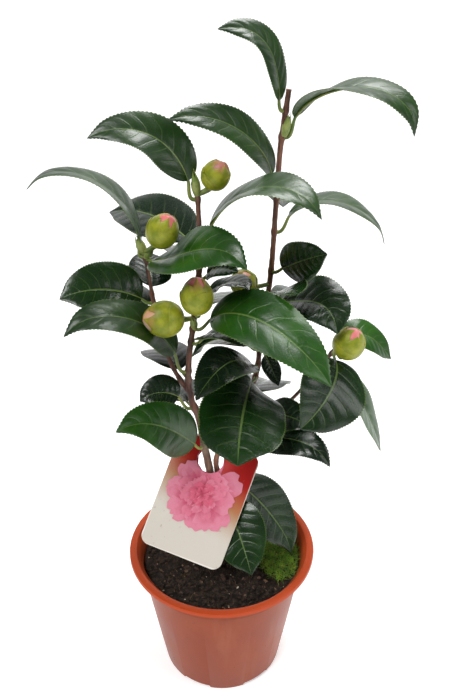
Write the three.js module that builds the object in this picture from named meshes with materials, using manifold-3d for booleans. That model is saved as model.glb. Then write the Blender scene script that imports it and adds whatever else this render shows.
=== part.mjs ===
// A young camellia shrub standing in its plastic nursery pot.
//
// Millimetres, +Z up. The origin is the centre of the pot's flat underside, and the front of the plant,
// the side with the care label, looks along -Y. Every stem, leaf, bud and the label is its own solid.
import * as THREE from 'three';
import { mergeVertices } from 'three/addons/utils/BufferGeometryUtils.js';
import Module from 'manifold-3d';

// Pot: a 150 mm container with a lip, a collar band under it and drain notches round the foot.
const POT_RIM_RADIUS = 75;
const POT_HEIGHT = 115;
const POT_FOOT_RADIUS = 50;
const POT_WALL = 1.8;
const LIP_DEPTH = 4;
const LIP_WIDTH = 5.7;
const COLLAR_HEIGHT = 12;
const COLLAR_STEP = 1.2;
const POT_SIDES = 48;
const NOTCH_COUNT = 6;
const NOTCH_WIDTH = 24;
const NOTCH_HEIGHT = 3.5;
const FIRST_NOTCH_TURN = -25;

// Soil and moss.
const SOIL_LEVEL = 103;
const SOIL_GAP = 0.5;

// Care label: a thin tag that hangs from the trunk by its hole.
const LABEL_WIDTH = 64;
const LABEL_BELOW_HOLE = 75;
const LABEL_ABOVE_HOLE = 15;
const LABEL_CORNER = 7;
const LABEL_HOLE_RADIUS = 10;
const LABEL_HOLE_OFFSET = -3;
const LABEL_THICKNESS = 0.6;

// Stems, leaves and buds.
const STEM_SIDES = 8;
const CONTACT_GAP = 0.4;
const PETIOLE_RADIUS = 0.8;
const LEAF_THICKNESS = 0.9;
const LEAF_FOLD = 0.2;
const LEAF_STATIONS = [0, 0.08, 0.25, 0.45, 0.68, 0.88];
const BUD_SIDES = 10;

const COLOURS = {
  pot: 0xb3542c,
  soil: 0x2a211a,
  moss: 0x8f9a45,
  label: 0xe8d9c8,
  bark: 0x6b4a38,
  leaf: 0x2f5a26,
  bud: 0x9fae4e,
};

const UP = new THREE.Vector3(0, 0, 1);
const plant = new THREE.Group();

function addMesh(name, geometry, colour, roughness) {
  const material = new THREE.MeshStandardMaterial({ color: colour, roughness, metalness: 0 });
  const mesh = new THREE.Mesh(geometry, material);
  mesh.name = name;
  plant.add(mesh);
  return mesh;
}

function degrees(angle) {
  return THREE.MathUtils.degToRad(angle);
}

function vector([x, y, z]) {
  return new THREE.Vector3(x, y, z);
}

function meshFromRings(rings, apex, flipFrom = Infinity) {
  // Joins equal rings of points into one closed body: a flat cap on the first ring, and on the last
  // either the apex point or a second cap. Patches from side flipFrom on are split along the other
  // diagonal, which keeps the two faces of a thin twisted body apart.
  const count = rings[0].length;
  const positions = rings.flat().flatMap((point) => point.toArray());
  const faces = [];
  for (let corner = 1; corner < count - 1; corner += 1) faces.push(0, corner + 1, corner);
  for (let ring = 0; ring < rings.length - 1; ring += 1) {
    for (let side = 0; side < count; side += 1) {
      const next = (side + 1) % count;
      const a = ring * count + side;
      const b = ring * count + next;
      if (side < flipFrom) faces.push(a, b, b + count, a, b + count, a + count);
      else faces.push(a, b, a + count, b, b + count, a + count);
    }
  }
  const last = (rings.length - 1) * count;
  if (apex) {
    positions.push(...apex.toArray());
    for (let side = 0; side < count; side += 1) {
      faces.push(last + side, last + ((side + 1) % count), rings.length * count);
    }
  } else {
    for (let corner = 1; corner < count - 1; corner += 1) {
      faces.push(last, last + corner, last + corner + 1);
    }
  }
  const geometry = new THREE.BufferGeometry();
  geometry.setAttribute('position', new THREE.Float32BufferAttribute(positions, 3));
  geometry.setIndex(faces);
  geometry.computeVertexNormals();
  return geometry;
}

// ---------------------------------------------------------------- pot

const wasm = await Module();
wasm.setup();

function toSolid(geometry) {
  const bare = geometry.clone();
  bare.deleteAttribute('normal');
  bare.deleteAttribute('uv');
  const merged = mergeVertices(bare, 1e-4);
  return new wasm.Manifold(new wasm.Mesh({
    numProp: 3,
    vertProperties: new Float32Array(merged.attributes.position.array),
    triVerts: new Uint32Array(merged.index.array),
  }));
}

function fromSolid(solid) {
  const mesh = solid.getMesh();
  const geometry = new THREE.BufferGeometry();
  geometry.setAttribute('position', new THREE.BufferAttribute(mesh.vertProperties, 3));
  geometry.setIndex(new THREE.BufferAttribute(mesh.triVerts, 1));
  geometry.computeVertexNormals();
  return geometry;
}

function lathe(profile, sides) {
  // LatheGeometry turns about Y, and the part stands on Z.
  const points = profile.map(([radius, height]) => new THREE.Vector2(radius, height));
  return new THREE.LatheGeometry(points, sides).rotateX(Math.PI / 2);
}

const collarTop = POT_HEIGHT - LIP_DEPTH;
const collarBottom = collarTop - COLLAR_HEIGHT;
const lipInner = POT_RIM_RADIUS - LIP_WIDTH;
const collarOuter = POT_RIM_RADIUS - 7.8;
const bodyTopRadius = collarOuter - 0.6 - COLLAR_STEP;

function makePot() {
  const shell = toSolid(lathe([
    [0, 0],
    [POT_FOOT_RADIUS - 1, 0],
    [POT_FOOT_RADIUS, 1],
    [bodyTopRadius, collarBottom],
    [collarOuter - 0.6, collarBottom + 1],
    [collarOuter, collarTop],
    [POT_RIM_RADIUS - 0.6, collarTop],
    [POT_RIM_RADIUS, collarTop + 0.8],
    [POT_RIM_RADIUS, POT_HEIGHT - 1],
    [POT_RIM_RADIUS - 1, POT_HEIGHT],
    [lipInner, POT_HEIGHT],
    [lipInner - 0.6, POT_HEIGHT - 0.6],
    [collarOuter - POT_WALL, collarTop - 2],
    [bodyTopRadius - POT_WALL, collarBottom - 2],
    [POT_FOOT_RADIUS - POT_WALL, 2.4],
    [0, 2.4],
  ], POT_SIDES));
  let pot = shell;
  for (let index = 0; index < NOTCH_COUNT; index += 1) {
    const turn = degrees(FIRST_NOTCH_TURN + (index * 360) / NOTCH_COUNT);
    const notch = new THREE.BoxGeometry(NOTCH_WIDTH, 9, NOTCH_HEIGHT * 2);
    notch.translate(0, -POT_FOOT_RADIUS, 0).rotateZ(turn);
    pot = pot.subtract(toSolid(notch));
  }
  return fromSolid(pot);
}

addMesh('pot', makePot(), COLOURS.pot, 0.45);

// ---------------------------------------------------------------- soil and moss

function wallInnerRadius(height) {
  const along = (height - 2.4) / (collarBottom - 2 - 2.4);
  return THREE.MathUtils.lerp(POT_FOOT_RADIUS, bodyTopRadius, along) - POT_WALL;
}

function makeSoil() {
  const floor = 2.4 + SOIL_GAP;
  const shoulder = SOIL_LEVEL - 7;
  return lathe([
    [0, floor],
    [wallInnerRadius(floor) - SOIL_GAP, floor],
    [wallInnerRadius(shoulder) - SOIL_GAP, shoulder],
    [wallInnerRadius(shoulder) - SOIL_GAP, SOIL_LEVEL - 2],
    [wallInnerRadius(shoulder) - 12, SOIL_LEVEL],
    [30, SOIL_LEVEL - 1],
    [0, SOIL_LEVEL],
  ], POT_SIDES);
}

function makeMoss() {
  // A low uneven pad on the soil, against the right-hand wall.
  const sides = 14;
  const centre = new THREE.Vector3(45, 2, SOIL_LEVEL + CONTACT_GAP);
  const ring = (scale, height) => Array.from({ length: sides }, (_, index) => {
    const angle = (index * 2 * Math.PI) / sides;
    const reach = scale * (1 + 0.08 * Math.sin(3 * angle + 1));
    return new THREE.Vector3(15 * reach * Math.cos(angle), 25 * reach * Math.sin(angle), height).add(centre);
  });
  return meshFromRings([ring(0.92, 0), ring(1, 1.2), ring(0.6, 3.4)], centre.clone().setZ(centre.z + 4));
}

addMesh('soil', makeSoil(), COLOURS.soil, 0.95);
addMesh('moss', makeMoss(), COLOURS.moss, 0.9);

// ---------------------------------------------------------------- stems

function growStem({ points, radii }) {
  const curve = new THREE.CatmullRomCurve3(points.map(vector), false, 'centripetal');
  const radiusAt = (along) => THREE.MathUtils.lerp(radii[0], radii[1], along);
  return { curve, radiusAt };
}

function stemAtHeight(stem, height) {
  // The stems climb all the way, so a bisection on height finds the place.
  let low = 0;
  let high = 1;
  for (let step = 0; step < 40; step += 1) {
    const middle = (low + high) / 2;
    if (stem.curve.getPoint(middle).z < height) low = middle;
    else high = middle;
  }
  return {
    centre: stem.curve.getPoint(low),
    tangent: stem.curve.getTangent(low),
    radius: stem.radiusAt(low),
  };
}

function stemGeometry(stem, flare) {
  const steps = Math.max(5, Math.round(stem.curve.getLength() / 16));
  const rings = [];
  for (let step = 0; step <= steps; step += 1) {
    const along = step / steps;
    const centre = stem.curve.getPoint(along);
    const tangent = stem.curve.getTangent(along);
    const across = new THREE.Vector3(1, 0, 0).projectOnPlane(tangent).normalize();
    const third = new THREE.Vector3().crossVectors(tangent, across);
    const radius = stem.radiusAt(along) + flare * Math.exp(-along * 9);
    rings.push(Array.from({ length: STEM_SIDES }, (_, side) => {
      const angle = (side * 2 * Math.PI) / STEM_SIDES;
      return centre.clone()
        .addScaledVector(across, radius * Math.cos(angle))
        .addScaledVector(third, radius * Math.sin(angle));
    }));
  }
  return meshFromRings(rings);
}

const stems = {
  trunk: growStem({
    points: [[-1, 1, SOIL_LEVEL + CONTACT_GAP], [-3, 0, 130], [-6, -3, 165], [-9, -5, 195], [-13, -6, 220]],
    radii: [4, 2.7],
  }),
  middle_stem: growStem({
    points: [[-13, -6, 220.6], [-16, -8, 242], [-21, -9, 260], [-22, -12, 285], [-18, -15, 317],
      [-15, -15, 338], [-12, -15, 375], [-13, -13, 408]],
    radii: [2.5, 1.5],
  }),
  right_stem: growStem({
    points: [[-0.8, -3, 172], [-1.8, -3.6, 186], [-3.8, -4.4, 200], [0, 0, 212], [14, 13, 236], [26, 18, 262],
      [29, 20, 291], [35, 20, 340], [37, 20, 380], [39, 19, 428], [43, 16, 465]],
    radii: [2.2, 1.7],
  }),
  left_stem: growStem({
    points: [[-24.8, -8, 268], [-32, -6, 280], [-38, -3, 296], [-43, 0, 317], [-46, 0, 339], [-49, 0, 366]],
    radii: [1.7, 1.2],
  }),
  right_branch: growStem({
    points: [[19.6, 13.5, 233], [34, 11, 235], [50, 8, 245], [60, 8, 258], [70, 6, 274], [82, 4, 293]],
    radii: [1.5, 1.1],
  }),
};

for (const [name, stem] of Object.entries(stems)) {
  addMesh(name, stemGeometry(stem, name === 'trunk' ? 2.2 : 0), COLOURS.bark, 0.8);
}

// ---------------------------------------------------------------- leaves

function bladeWidth(along, taper) {
  // Broadest below the middle and drawn out to a point; 1 at the broadest place. A low taper is a
  // rounder leaf.
  const swell = 0.55;
  const shape = (place) => place ** swell * (1 - place) ** taper;
  return shape(along) / shape(swell / (swell + taper));
}

function leafSection(centre, side, normal, halfWidth, thickness, fold) {
  // Six points: edge, three along the upper face, edge, one under the midrib. The halves rise from
  // the midrib and turn down again towards the edges.
  const place = (across, height) => centre.clone()
    .addScaledVector(side, across * halfWidth)
    .addScaledVector(normal, height);
  const edge = 0.6 * fold * halfWidth;
  const shoulder = 0.42 * fold * halfWidth + 0.35 * thickness;
  return [
    place(-1, edge),
    place(0, -thickness / 2),
    place(1, edge),
    place(0.5, shoulder),
    place(0, thickness / 2),
    place(-0.5, shoulder),
  ];
}

function leafGeometry(leaf) {
  // The midrib is one cubic curve from the stem to the tip. rise and fall are its two handles: how far
  // along the straight line between the ends, and how far above it. sway moves both to one side.
  // face is the way the upper side looks.
  const { stem, z, tip, rise, fall, sway = 0, face, tipFace = face, width, petiole, taper = 0.85 } = leaf;
  const root = stemAtHeight(stems[stem], z);
  const end = vector(tip);
  const reach = end.clone().sub(root.centre).projectOnPlane(root.tangent).normalize();
  const start = root.centre.clone().addScaledVector(reach, root.radius + CONTACT_GAP + PETIOLE_RADIUS);
  const sideways = new THREE.Vector3().crossVectors(UP, end.clone().sub(start)).normalize();
  const handle = ([along, lift]) => start.clone().lerp(end, along)
    .addScaledVector(UP, lift)
    .addScaledVector(sideways, sway);
  const midrib = new THREE.CubicBezierCurve3(start, handle(rise), handle(fall), end);
  const bladeStart = petiole / midrib.getLength();
  const section = (along, halfWidth, thickness, bend) => {
    const tangent = midrib.getTangentAt(along);
    const look = vector(face).normalize().lerp(vector(tipFace).normalize(), along);
    const normal = look.projectOnPlane(tangent).normalize();
    const side = new THREE.Vector3().crossVectors(normal, tangent);
    return leafSection(midrib.getPointAt(along), side, normal, halfWidth, thickness, bend);
  };
  const rings = [section(0, PETIOLE_RADIUS, 2 * PETIOLE_RADIUS, 0)];
  for (const station of LEAF_STATIONS) {
    const along = THREE.MathUtils.lerp(bladeStart, 1, station);
    const halfWidth = Math.max(PETIOLE_RADIUS, (width / 2) * bladeWidth(station, taper));
    rings.push(section(along, halfWidth, LEAF_THICKNESS, station > 0 ? LEAF_FOLD : 0));
  }
  return meshFromRings(rings, end, 2);
}

const leaves = {
  // The leader on the right and the top of the plant.
  leaf_top: { stem: 'right_stem', z: 452, tip: [0, -5, 500], rise: [0.14, 18], fall: [0.2, 43], sway: 6,
    face: [1, -1, 1], width: 22, petiole: 7 },
  leaf_top_right: { stem: 'right_stem', z: 436, tip: [119, 0, 440], rise: [0.04, 40], fall: [1, 39],
    face: [-1, 2, 3], tipFace: [1, -2, 2], width: 32, petiole: 14 },
  leaf_high_left: { stem: 'right_stem', z: 406, tip: [-28, -30, 455], rise: [0.1, 23], fall: [0.6, 27],
    sway: 8, face: [1, -2, 2], width: 26, petiole: 8 },
  leaf_right_arching: { stem: 'right_stem', z: 373, tip: [110, 10, 368], rise: [0.12, 38],
    fall: [0.92, 30], face: [0, 0, 1], width: 32, petiole: 14 },
  leaf_right_round: { stem: 'right_stem', z: 345, tip: [69, -12, 369], rise: [0.4, 2], fall: [0.7, 2],
    face: [0, -3, 1], width: 28, petiole: 8 },
  leaf_right_front: { stem: 'right_stem', z: 320, tip: [48, -42, 354], rise: [0.35, 12], fall: [0.7, 6],
    face: [0, -1, 2], width: 36, petiole: 7 },
  leaf_right_wide: { stem: 'right_stem', z: 322, tip: [78, -22, 317], rise: [0.45, 10], fall: [0.8, 24],
    sway: 6, face: [0, -1, 2], width: 46, petiole: 9 },
  leaf_stem_small: { stem: 'right_stem', z: 285, tip: [42, 0, 264], rise: [0.4, 2], fall: [0.7, 3],
    face: [0, -1, 1], width: 13, petiole: 5 },
  leaf_centre_back: { stem: 'right_stem', z: 284, tip: [-19, -22, 300], rise: [0.3, 14],
    fall: [0.7, 20], face: [0, 3, 2], width: 32, petiole: 8 },
  leaf_centre_dark: { stem: 'right_stem', z: 271, tip: [-15, -55, 286], rise: [0.35, 22],
    fall: [0.7, 18], face: [0, -1, 2], width: 34, petiole: 8 },
  leaf_centre_round: { stem: 'right_stem', z: 261.5, tip: [12, -64, 241], rise: [0.35, 16],
    fall: [0.75, 6], sway: -3, face: [0, -3, 1], width: 60, petiole: 8, taper: 0.5 },
  leaf_low_right: { stem: 'right_stem', z: 226, tip: [78, -35, 218], rise: [0.45, 0], fall: [0.8, 25],
    face: [0, -1, 1], width: 26, petiole: 9 },
  leaf_pot_right: { stem: 'right_stem', z: 190, tip: [56, -14, 116], rise: [0.5, 15], fall: [0.95, 10],
    sway: 8, face: [1, -2, 1], width: 40, petiole: 14 },
  leaf_pot_front: { stem: 'right_stem', z: 178, tip: [23, -50, 129], rise: [0.5, 6], fall: [0.8, 6],
    face: [0, -2, 1], width: 42, petiole: 12 },

  // The middle stem and the trunk below it.
  leaf_upper_left: { stem: 'middle_stem', z: 405, tip: [-75, -25, 444], rise: [0.1, 39],
    fall: [0.65, 25], face: [0, -1, 1], width: 28, petiole: 12 },
  leaf_left_behind: { stem: 'middle_stem', z: 374, tip: [-80, 56, 376], rise: [0.3, 6], fall: [0.6, 14],
    sway: -6, face: [0, -2, 3], width: 40, petiole: 10 },
  leaf_arching: { stem: 'middle_stem', z: 381, tip: [58, -60, 407], rise: [0.18, 34], fall: [0.8, 33],
    face: [0, -1, 4], width: 34, petiole: 12 },
  leaf_bud_right: { stem: 'middle_stem', z: 354, tip: [12, -35, 366], rise: [0.3, 10], fall: [0.7, 4],
    face: [0, -1, 2], width: 20, petiole: 6 },
  leaf_bud_low: { stem: 'middle_stem', z: 342, tip: [19, -30, 352], rise: [0.3, 6], fall: [0.75, 8],
    sway: 8, face: [0, 0, 1], width: 24, petiole: 6 },
  leaf_big_front: { stem: 'middle_stem', z: 318, tip: [68, -75, 308], rise: [0.3, 44], fall: [0.8, 22],
    face: [0, -2, 3], width: 40, petiole: 16 },
  leaf_centre_curled: { stem: 'middle_stem', z: 307, tip: [16, -42, 318], rise: [0.3, 14],
    fall: [0.8, 12], face: [0, 0, 1], width: 28, petiole: 8 },
  leaf_low_left: { stem: 'middle_stem', z: 283, tip: [-96, -50, 329], rise: [0.12, 41],
    fall: [0.75, 34], face: [0, -1, 2], width: 32, petiole: 17 },
  leaf_behind_left: { stem: 'middle_stem', z: 276, tip: [-55, 45, 266], rise: [0.3, 10],
    fall: [0.7, 18], face: [0, 0, 1], width: 34, petiole: 9 },
  leaf_small_left: { stem: 'middle_stem', z: 252, tip: [-56, -21, 264], rise: [0.2, 16],
    fall: [0.75, 12], face: [0, -1, 1], width: 26, petiole: 14 },
  leaf_label_left: { stem: 'trunk', z: 216, tip: [-67, -60, 265], rise: [0.35, 13], fall: [0.65, 20],
    face: [0, -1, 1], width: 36, petiole: 8 },

  // The left stem.
  leaf_far_left: { stem: 'left_stem', z: 363, tip: [-119.5, -5, 409], rise: [-0.1, 48], fall: [0.7, 42],
    face: [0, 0, 1], width: 32, petiole: 10 },
  leaf_centre_front: { stem: 'left_stem', z: 361, tip: [17, -60, 377], rise: [0.32, 0],
    fall: [0.75, 27], sway: -3, face: [0, -1, 3], tipFace: [0, -3, 2], width: 36, petiole: 5 },
  leaf_left_back: { stem: 'left_stem', z: 336, tip: [-52, 45, 350], rise: [0.3, 0], fall: [0.7, 4],
    face: [0, 1, 1], width: 30, petiole: 7 },
  leaf_left_wide: { stem: 'left_stem', z: 330, tip: [-103, -22, 342], rise: [0.28, 12], fall: [0.7, 11],
    face: [0, -1, 1], width: 40, petiole: 7 },

  // The branch low on the right.
  leaf_right_tip: { stem: 'right_branch', z: 288, tip: [125, 15, 278], rise: [0.35, 33],
    fall: [0.75, 14], face: [0, -1, 2], width: 26, petiole: 7 },
  leaf_right_hanging: { stem: 'right_branch', z: 290, tip: [54, -45, 257], rise: [0.25, 6],
    fall: [0.6, 2], sway: 14, face: [1, -2, 1], width: 54, petiole: 7 },
  leaf_right_edge: { stem: 'right_branch', z: 280, tip: [121, -2, 208], rise: [0.45, 24],
    fall: [0.85, 14], face: [3, -1, 1], width: 34, petiole: 9 },
  leaf_branch_small: { stem: 'right_branch', z: 234, tip: [64, -24, 243], rise: [0.45, 8],
    fall: [0.8, 6], face: [0, -1, 1], width: 26, petiole: 6 },

  // The far side of the crown.
  leaf_back_1: { stem: 'right_stem', z: 396, tip: [48, 96, 368], rise: [0.3, 12], fall: [0.7, 12],
    face: [0, 0, 1], width: 28, petiole: 9 },
  leaf_back_2: { stem: 'middle_stem', z: 360, tip: [-34, 72, 338], rise: [0.3, 12], fall: [0.7, 14],
    face: [0, 0, 1], width: 32, petiole: 9 },
  leaf_back_3: { stem: 'left_stem', z: 322, tip: [-104, 58, 312], rise: [0.3, 12], fall: [0.7, 14],
    face: [0, 0, 1], width: 34, petiole: 8 },
  leaf_back_4: { stem: 'middle_stem', z: 328, tip: [0, 80, 296], rise: [0.3, 12], fall: [0.7, 14],
    face: [0, 0, 1], width: 38, petiole: 9 },
  leaf_back_5: { stem: 'right_stem', z: 318, tip: [88, 78, 290], rise: [0.3, 12], fall: [0.7, 16],
    face: [0, 0, 1], width: 38, petiole: 9 },
  leaf_back_6: { stem: 'right_stem', z: 296, tip: [22, 108, 258], rise: [0.3, 12], fall: [0.7, 16],
    face: [0, 0, 1], width: 40, petiole: 9 },
  leaf_back_7: { stem: 'middle_stem', z: 250, tip: [-58, 62, 220], rise: [0.3, 12], fall: [0.7, 16],
    face: [0, 0, 1], width: 38, petiole: 9 },
  leaf_back_8: { stem: 'right_stem', z: 244, tip: [48, 96, 206], rise: [0.3, 12], fall: [0.7, 16],
    face: [0, 0, 1], width: 42, petiole: 9 },
  leaf_back_9: { stem: 'right_branch', z: 264, tip: [104, 66, 226], rise: [0.3, 12], fall: [0.7, 16],
    face: [0, 0, 1], width: 36, petiole: 9 },
};

for (const [name, leaf] of Object.entries(leaves)) {
  addMesh(name, leafGeometry(leaf), COLOURS.leaf, 0.3);
}

// ---------------------------------------------------------------- buds

function budGeometry({ at, points, length, width }) {
  // An egg standing on its stalk end, turned to point along its own direction.
  const profile = [[0, 0], [0.16, 0.01], [0.4, 0.12], [0.5, 0.34],
    [0.47, 0.56], [0.34, 0.78], [0.16, 0.93], [0, 1]];
  const egg = lathe(profile.map(([r, h]) => [r * width, (h - 0.5) * length]), BUD_SIDES);
  const turn = new THREE.Quaternion().setFromUnitVectors(UP, vector(points).normalize());
  return egg.applyQuaternion(turn).translate(...at);
}

const buds = {
  bud_left_top: { at: [-34, -20, 387], points: [1, -1, 2], length: 25, width: 20 },
  bud_middle_top: { at: [-1, -18, 421], points: [1, -1, 2], length: 20, width: 17 },
  bud_middle: { at: [-14, -28, 347], points: [0, -1, 5], length: 27, width: 21 },
  bud_left_low: { at: [-36, -26, 330], points: [-4, -2, 1], length: 28, width: 24 },
  bud_right: { at: [89, -10, 304], points: [1, -1, 3], length: 25, width: 22 },
  bud_behind: { at: [16, 2, 344], points: [0, -1, 1], length: 22, width: 18 },
};

for (const [name, bud] of Object.entries(buds)) {
  addMesh(name, budGeometry(bud), COLOURS.bud, 0.5);
}

// ---------------------------------------------------------------- care label

function makeLabel() {
  const half = LABEL_WIDTH / 2;
  const top = LABEL_ABOVE_HOLE;
  const bottom = -LABEL_BELOW_HOLE;
  const c = LABEL_CORNER;
  const outline = new THREE.Shape();
  outline.moveTo(-half + c, bottom);
  outline.lineTo(half - c, bottom);
  outline.absarc(half - c, bottom + c, c, -Math.PI / 2, 0);
  outline.lineTo(half, top - c);
  outline.absarc(half - c, top - c, c, 0, Math.PI / 2);
  outline.lineTo(-half + c, top);
  outline.absarc(-half + c, top - c, c, Math.PI / 2, Math.PI);
  outline.lineTo(-half, bottom + c);
  outline.absarc(-half + c, bottom + c, c, Math.PI, 1.5 * Math.PI);
  const hole = new THREE.Path();
  hole.absarc(LABEL_HOLE_OFFSET, 0, LABEL_HOLE_RADIUS, 0, 2 * Math.PI, true);
  outline.holes.push(hole);
  return new THREE.ExtrudeGeometry(outline, {
    depth: LABEL_THICKNESS, bevelEnabled: false, curveSegments: 5,
  }).translate(-LABEL_HOLE_OFFSET, 0, -LABEL_THICKNESS / 2);
}

const label = addMesh('label', makeLabel(), COLOURS.label, 0.35);
label.position.set(-7.5, -4, 201);
label.rotation.order = 'XYZ';
label.rotation.set(degrees(90 - 35), 0, degrees(-21));

export default plant;
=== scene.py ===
"""A young camellia shrub in its nursery pot: the finished surfaces round the fixed frame.

Everything is in metres, +Z up, with the front of the plant towards -Y. Leaves, stems, buds and the
care label are grown on the frame's own solids, which say where each one is and how large.
"""
import math
import random

import bmesh
import bpy
import numpy as np
from bpy.props import FloatProperty, FloatVectorProperty, IntProperty, PointerProperty
from mathutils import Matrix, Vector, noise


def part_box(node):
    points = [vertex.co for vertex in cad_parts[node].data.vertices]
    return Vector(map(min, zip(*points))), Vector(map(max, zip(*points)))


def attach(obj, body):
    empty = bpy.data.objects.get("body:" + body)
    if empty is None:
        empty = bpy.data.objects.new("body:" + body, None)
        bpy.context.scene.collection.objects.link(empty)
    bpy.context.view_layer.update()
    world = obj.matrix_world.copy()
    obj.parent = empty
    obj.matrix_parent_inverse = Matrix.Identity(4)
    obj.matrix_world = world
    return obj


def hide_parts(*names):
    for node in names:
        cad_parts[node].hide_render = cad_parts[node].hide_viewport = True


bl_info = {
    "name": "Potted Camellia",
    "version": (1, 0, 0),
    "blender": (4, 5, 0),
    "location": "3D View > Sidebar > Camellia",
    "description": "Builds a young camellia shrub in a nursery pot piece by piece",
    "category": "Add Mesh",
}

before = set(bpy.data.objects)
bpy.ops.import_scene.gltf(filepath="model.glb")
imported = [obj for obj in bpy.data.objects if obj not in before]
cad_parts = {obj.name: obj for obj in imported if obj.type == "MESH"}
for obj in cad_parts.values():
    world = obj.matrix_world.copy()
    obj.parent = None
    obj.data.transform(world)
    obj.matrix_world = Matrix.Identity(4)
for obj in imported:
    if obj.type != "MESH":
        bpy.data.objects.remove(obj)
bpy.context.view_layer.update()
BODY = "root"
MM = 0.001
GOLDEN_TURN = math.radians(137.5)
START_TURNS = 6.28              # range of a random starting angle, all but a full turn

COLLAR_INSET = 7.8 * MM         # from the rim's edge in to the collar band
COLLAR_STEP = 1.8 * MM          # from the collar band in to the pot's body
FIRST_NOTCH = math.radians(-25)
NOTCH_SIZE = (24 * MM, 9 * MM, 7 * MM)

BLADE_COLUMNS, BLADE_ROWS = 14, 76
VEIN_SWEEP = 0.17               # how far a side vein climbs towards the tip, as a part of the blade
VEIN_BEND = 1.35
VEIN_STAGGER = 0.42             # the two halves' veins don't start opposite each other

HOLE_REACH = 10 * MM            # petals on the card keep out of this radius round its hole

LEAVES = sorted(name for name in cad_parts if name.startswith("leaf_"))
BUDS = sorted(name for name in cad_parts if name.startswith("bud_"))
STEMS = ("trunk", "middle_stem", "right_stem", "left_stem", "right_branch")


# ---------------------------------------------------------------- mesh helpers

def select_only(piece):
    if bpy.context.object and bpy.context.object.mode != "OBJECT":
        bpy.ops.object.mode_set(mode="OBJECT")
    bpy.ops.object.select_all(action="DESELECT")
    piece.select_set(True)
    bpy.context.view_layer.objects.active = piece


def new_primitive(name, add, **sizes):
    bpy.ops.object.select_all(action="DESELECT")
    add(**sizes)
    piece = bpy.context.object
    piece.name = name
    piece.data.name = name
    return piece


def get_points(piece):
    points = np.empty(len(piece.data.vertices) * 3)
    piece.data.vertices.foreach_get("co", points)
    return points.reshape(-1, 3)


def set_points(piece, points):
    piece.data.vertices.foreach_set("co", np.ascontiguousarray(points, dtype=np.float32).ravel())
    piece.data.update()


def merge_close(piece, distance, recalculate=False):
    select_only(piece)
    bpy.ops.object.mode_set(mode="EDIT")
    bpy.ops.mesh.select_all(action="SELECT")
    bpy.ops.mesh.remove_doubles(threshold=distance)
    if recalculate:
        bpy.ops.mesh.normals_make_consistent(inside=False)
    bpy.ops.object.mode_set(mode="OBJECT")


def apply_modifier(piece, kind, **settings):
    select_only(piece)
    modifier = piece.modifiers.new(kind.title(), kind)
    for key, value in settings.items():
        setattr(modifier, key, value)
    bpy.ops.object.modifier_apply(modifier=modifier.name)


def place_in_mesh(piece):
    select_only(piece)
    bpy.ops.object.transform_apply(location=True, rotation=True, scale=True)


def join_pieces(pieces, name):
    select_only(pieces[0])
    for piece in pieces[1:]:
        piece.select_set(True)
    if len(pieces) > 1:
        bpy.ops.object.join()
    joined = bpy.context.object
    joined.name = name
    joined.data.name = name
    return joined


def mesh_from_arrays(name, points, faces, finish=None):
    mesh = bpy.data.meshes.new(name)
    mesh.from_pydata(points.tolist(), [], faces.tolist())
    mesh.update()
    piece = bpy.data.objects.new(name, mesh)
    bpy.context.collection.objects.link(piece)
    if finish:
        mesh.materials.append(finish)
    return piece


def finish_piece(piece, replaced=(), smooth=40):
    select_only(piece)
    bpy.ops.object.shade_smooth_by_angle(angle=math.radians(smooth))
    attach(piece, BODY)
    if replaced:
        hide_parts(*replaced)
    return piece


def make_tube(name, path, radii, roundness=3):
    """A capped round tube through the points of path, as thick at each as radii says."""
    curve = bpy.data.curves.new(name, "CURVE")
    curve.dimensions = "3D"
    curve.bevel_depth = 1.0
    curve.bevel_resolution = roundness
    curve.use_fill_caps = True
    spline = curve.splines.new("POLY")
    spline.points.add(len(path) - 1)
    for point, place, radius in zip(spline.points, path, radii):
        point.co = (*place, 1)
        point.radius = radius
    piece = bpy.data.objects.new(name, curve)
    bpy.context.collection.objects.link(piece)
    select_only(piece)
    bpy.ops.object.convert(target="MESH")
    piece = bpy.context.object
    merge_close(piece, 1e-6, recalculate=True)
    return piece


def smooth_through(knots, values, places):
    """Values of the natural cubic spline through the knots."""
    knots, values = np.asarray(knots, float), np.asarray(values, float)
    count, gaps = len(knots), np.diff(knots)
    slopes = (np.diff(values, axis=0).T / gaps).T
    matrix, right = np.eye(count), np.zeros_like(values)
    for row in range(1, count - 1):
        matrix[row, row - 1:row + 2] = gaps[row - 1], 2 * (gaps[row - 1] + gaps[row]), gaps[row]
        right[row] = 6 * (slopes[row] - slopes[row - 1])
    bends = np.linalg.solve(matrix, right)
    span = np.clip(np.searchsorted(knots, places) - 1, 0, count - 2)
    shape = (-1,) + (1,) * (values.ndim - 1)
    gap = gaps[span].reshape(shape)
    ahead = ((knots[span + 1] - places).reshape(shape)) / gap
    behind = 1 - ahead
    return (ahead * values[span] + behind * values[span + 1]
            + ((ahead ** 3 - ahead) * bends[span] + (behind ** 3 - behind) * bends[span + 1]) * gap ** 2 / 6)


def unit(vectors):
    return vectors / np.maximum(np.linalg.norm(vectors, axis=-1, keepdims=True), 1e-12)


def ease(values, low, high):
    part = np.clip((values - low) / (high - low), 0, 1)
    return part * part * (3 - 2 * part)


# ---------------------------------------------------------------- reading the frame's solids

def merged_solid(node):
    """Points of a frame solid with its doubles merged, and each point's neighbours."""
    mesh = bmesh.new()
    mesh.from_mesh(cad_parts[node].data)
    bmesh.ops.remove_doubles(mesh, verts=mesh.verts, dist=1e-6)
    mesh.verts.index_update()
    points = np.array([vertex.co[:] for vertex in mesh.verts])
    links = [{edge.other_vert(vertex).index for edge in vertex.link_edges} for vertex in mesh.verts]
    mesh.free()
    return points, links


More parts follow.
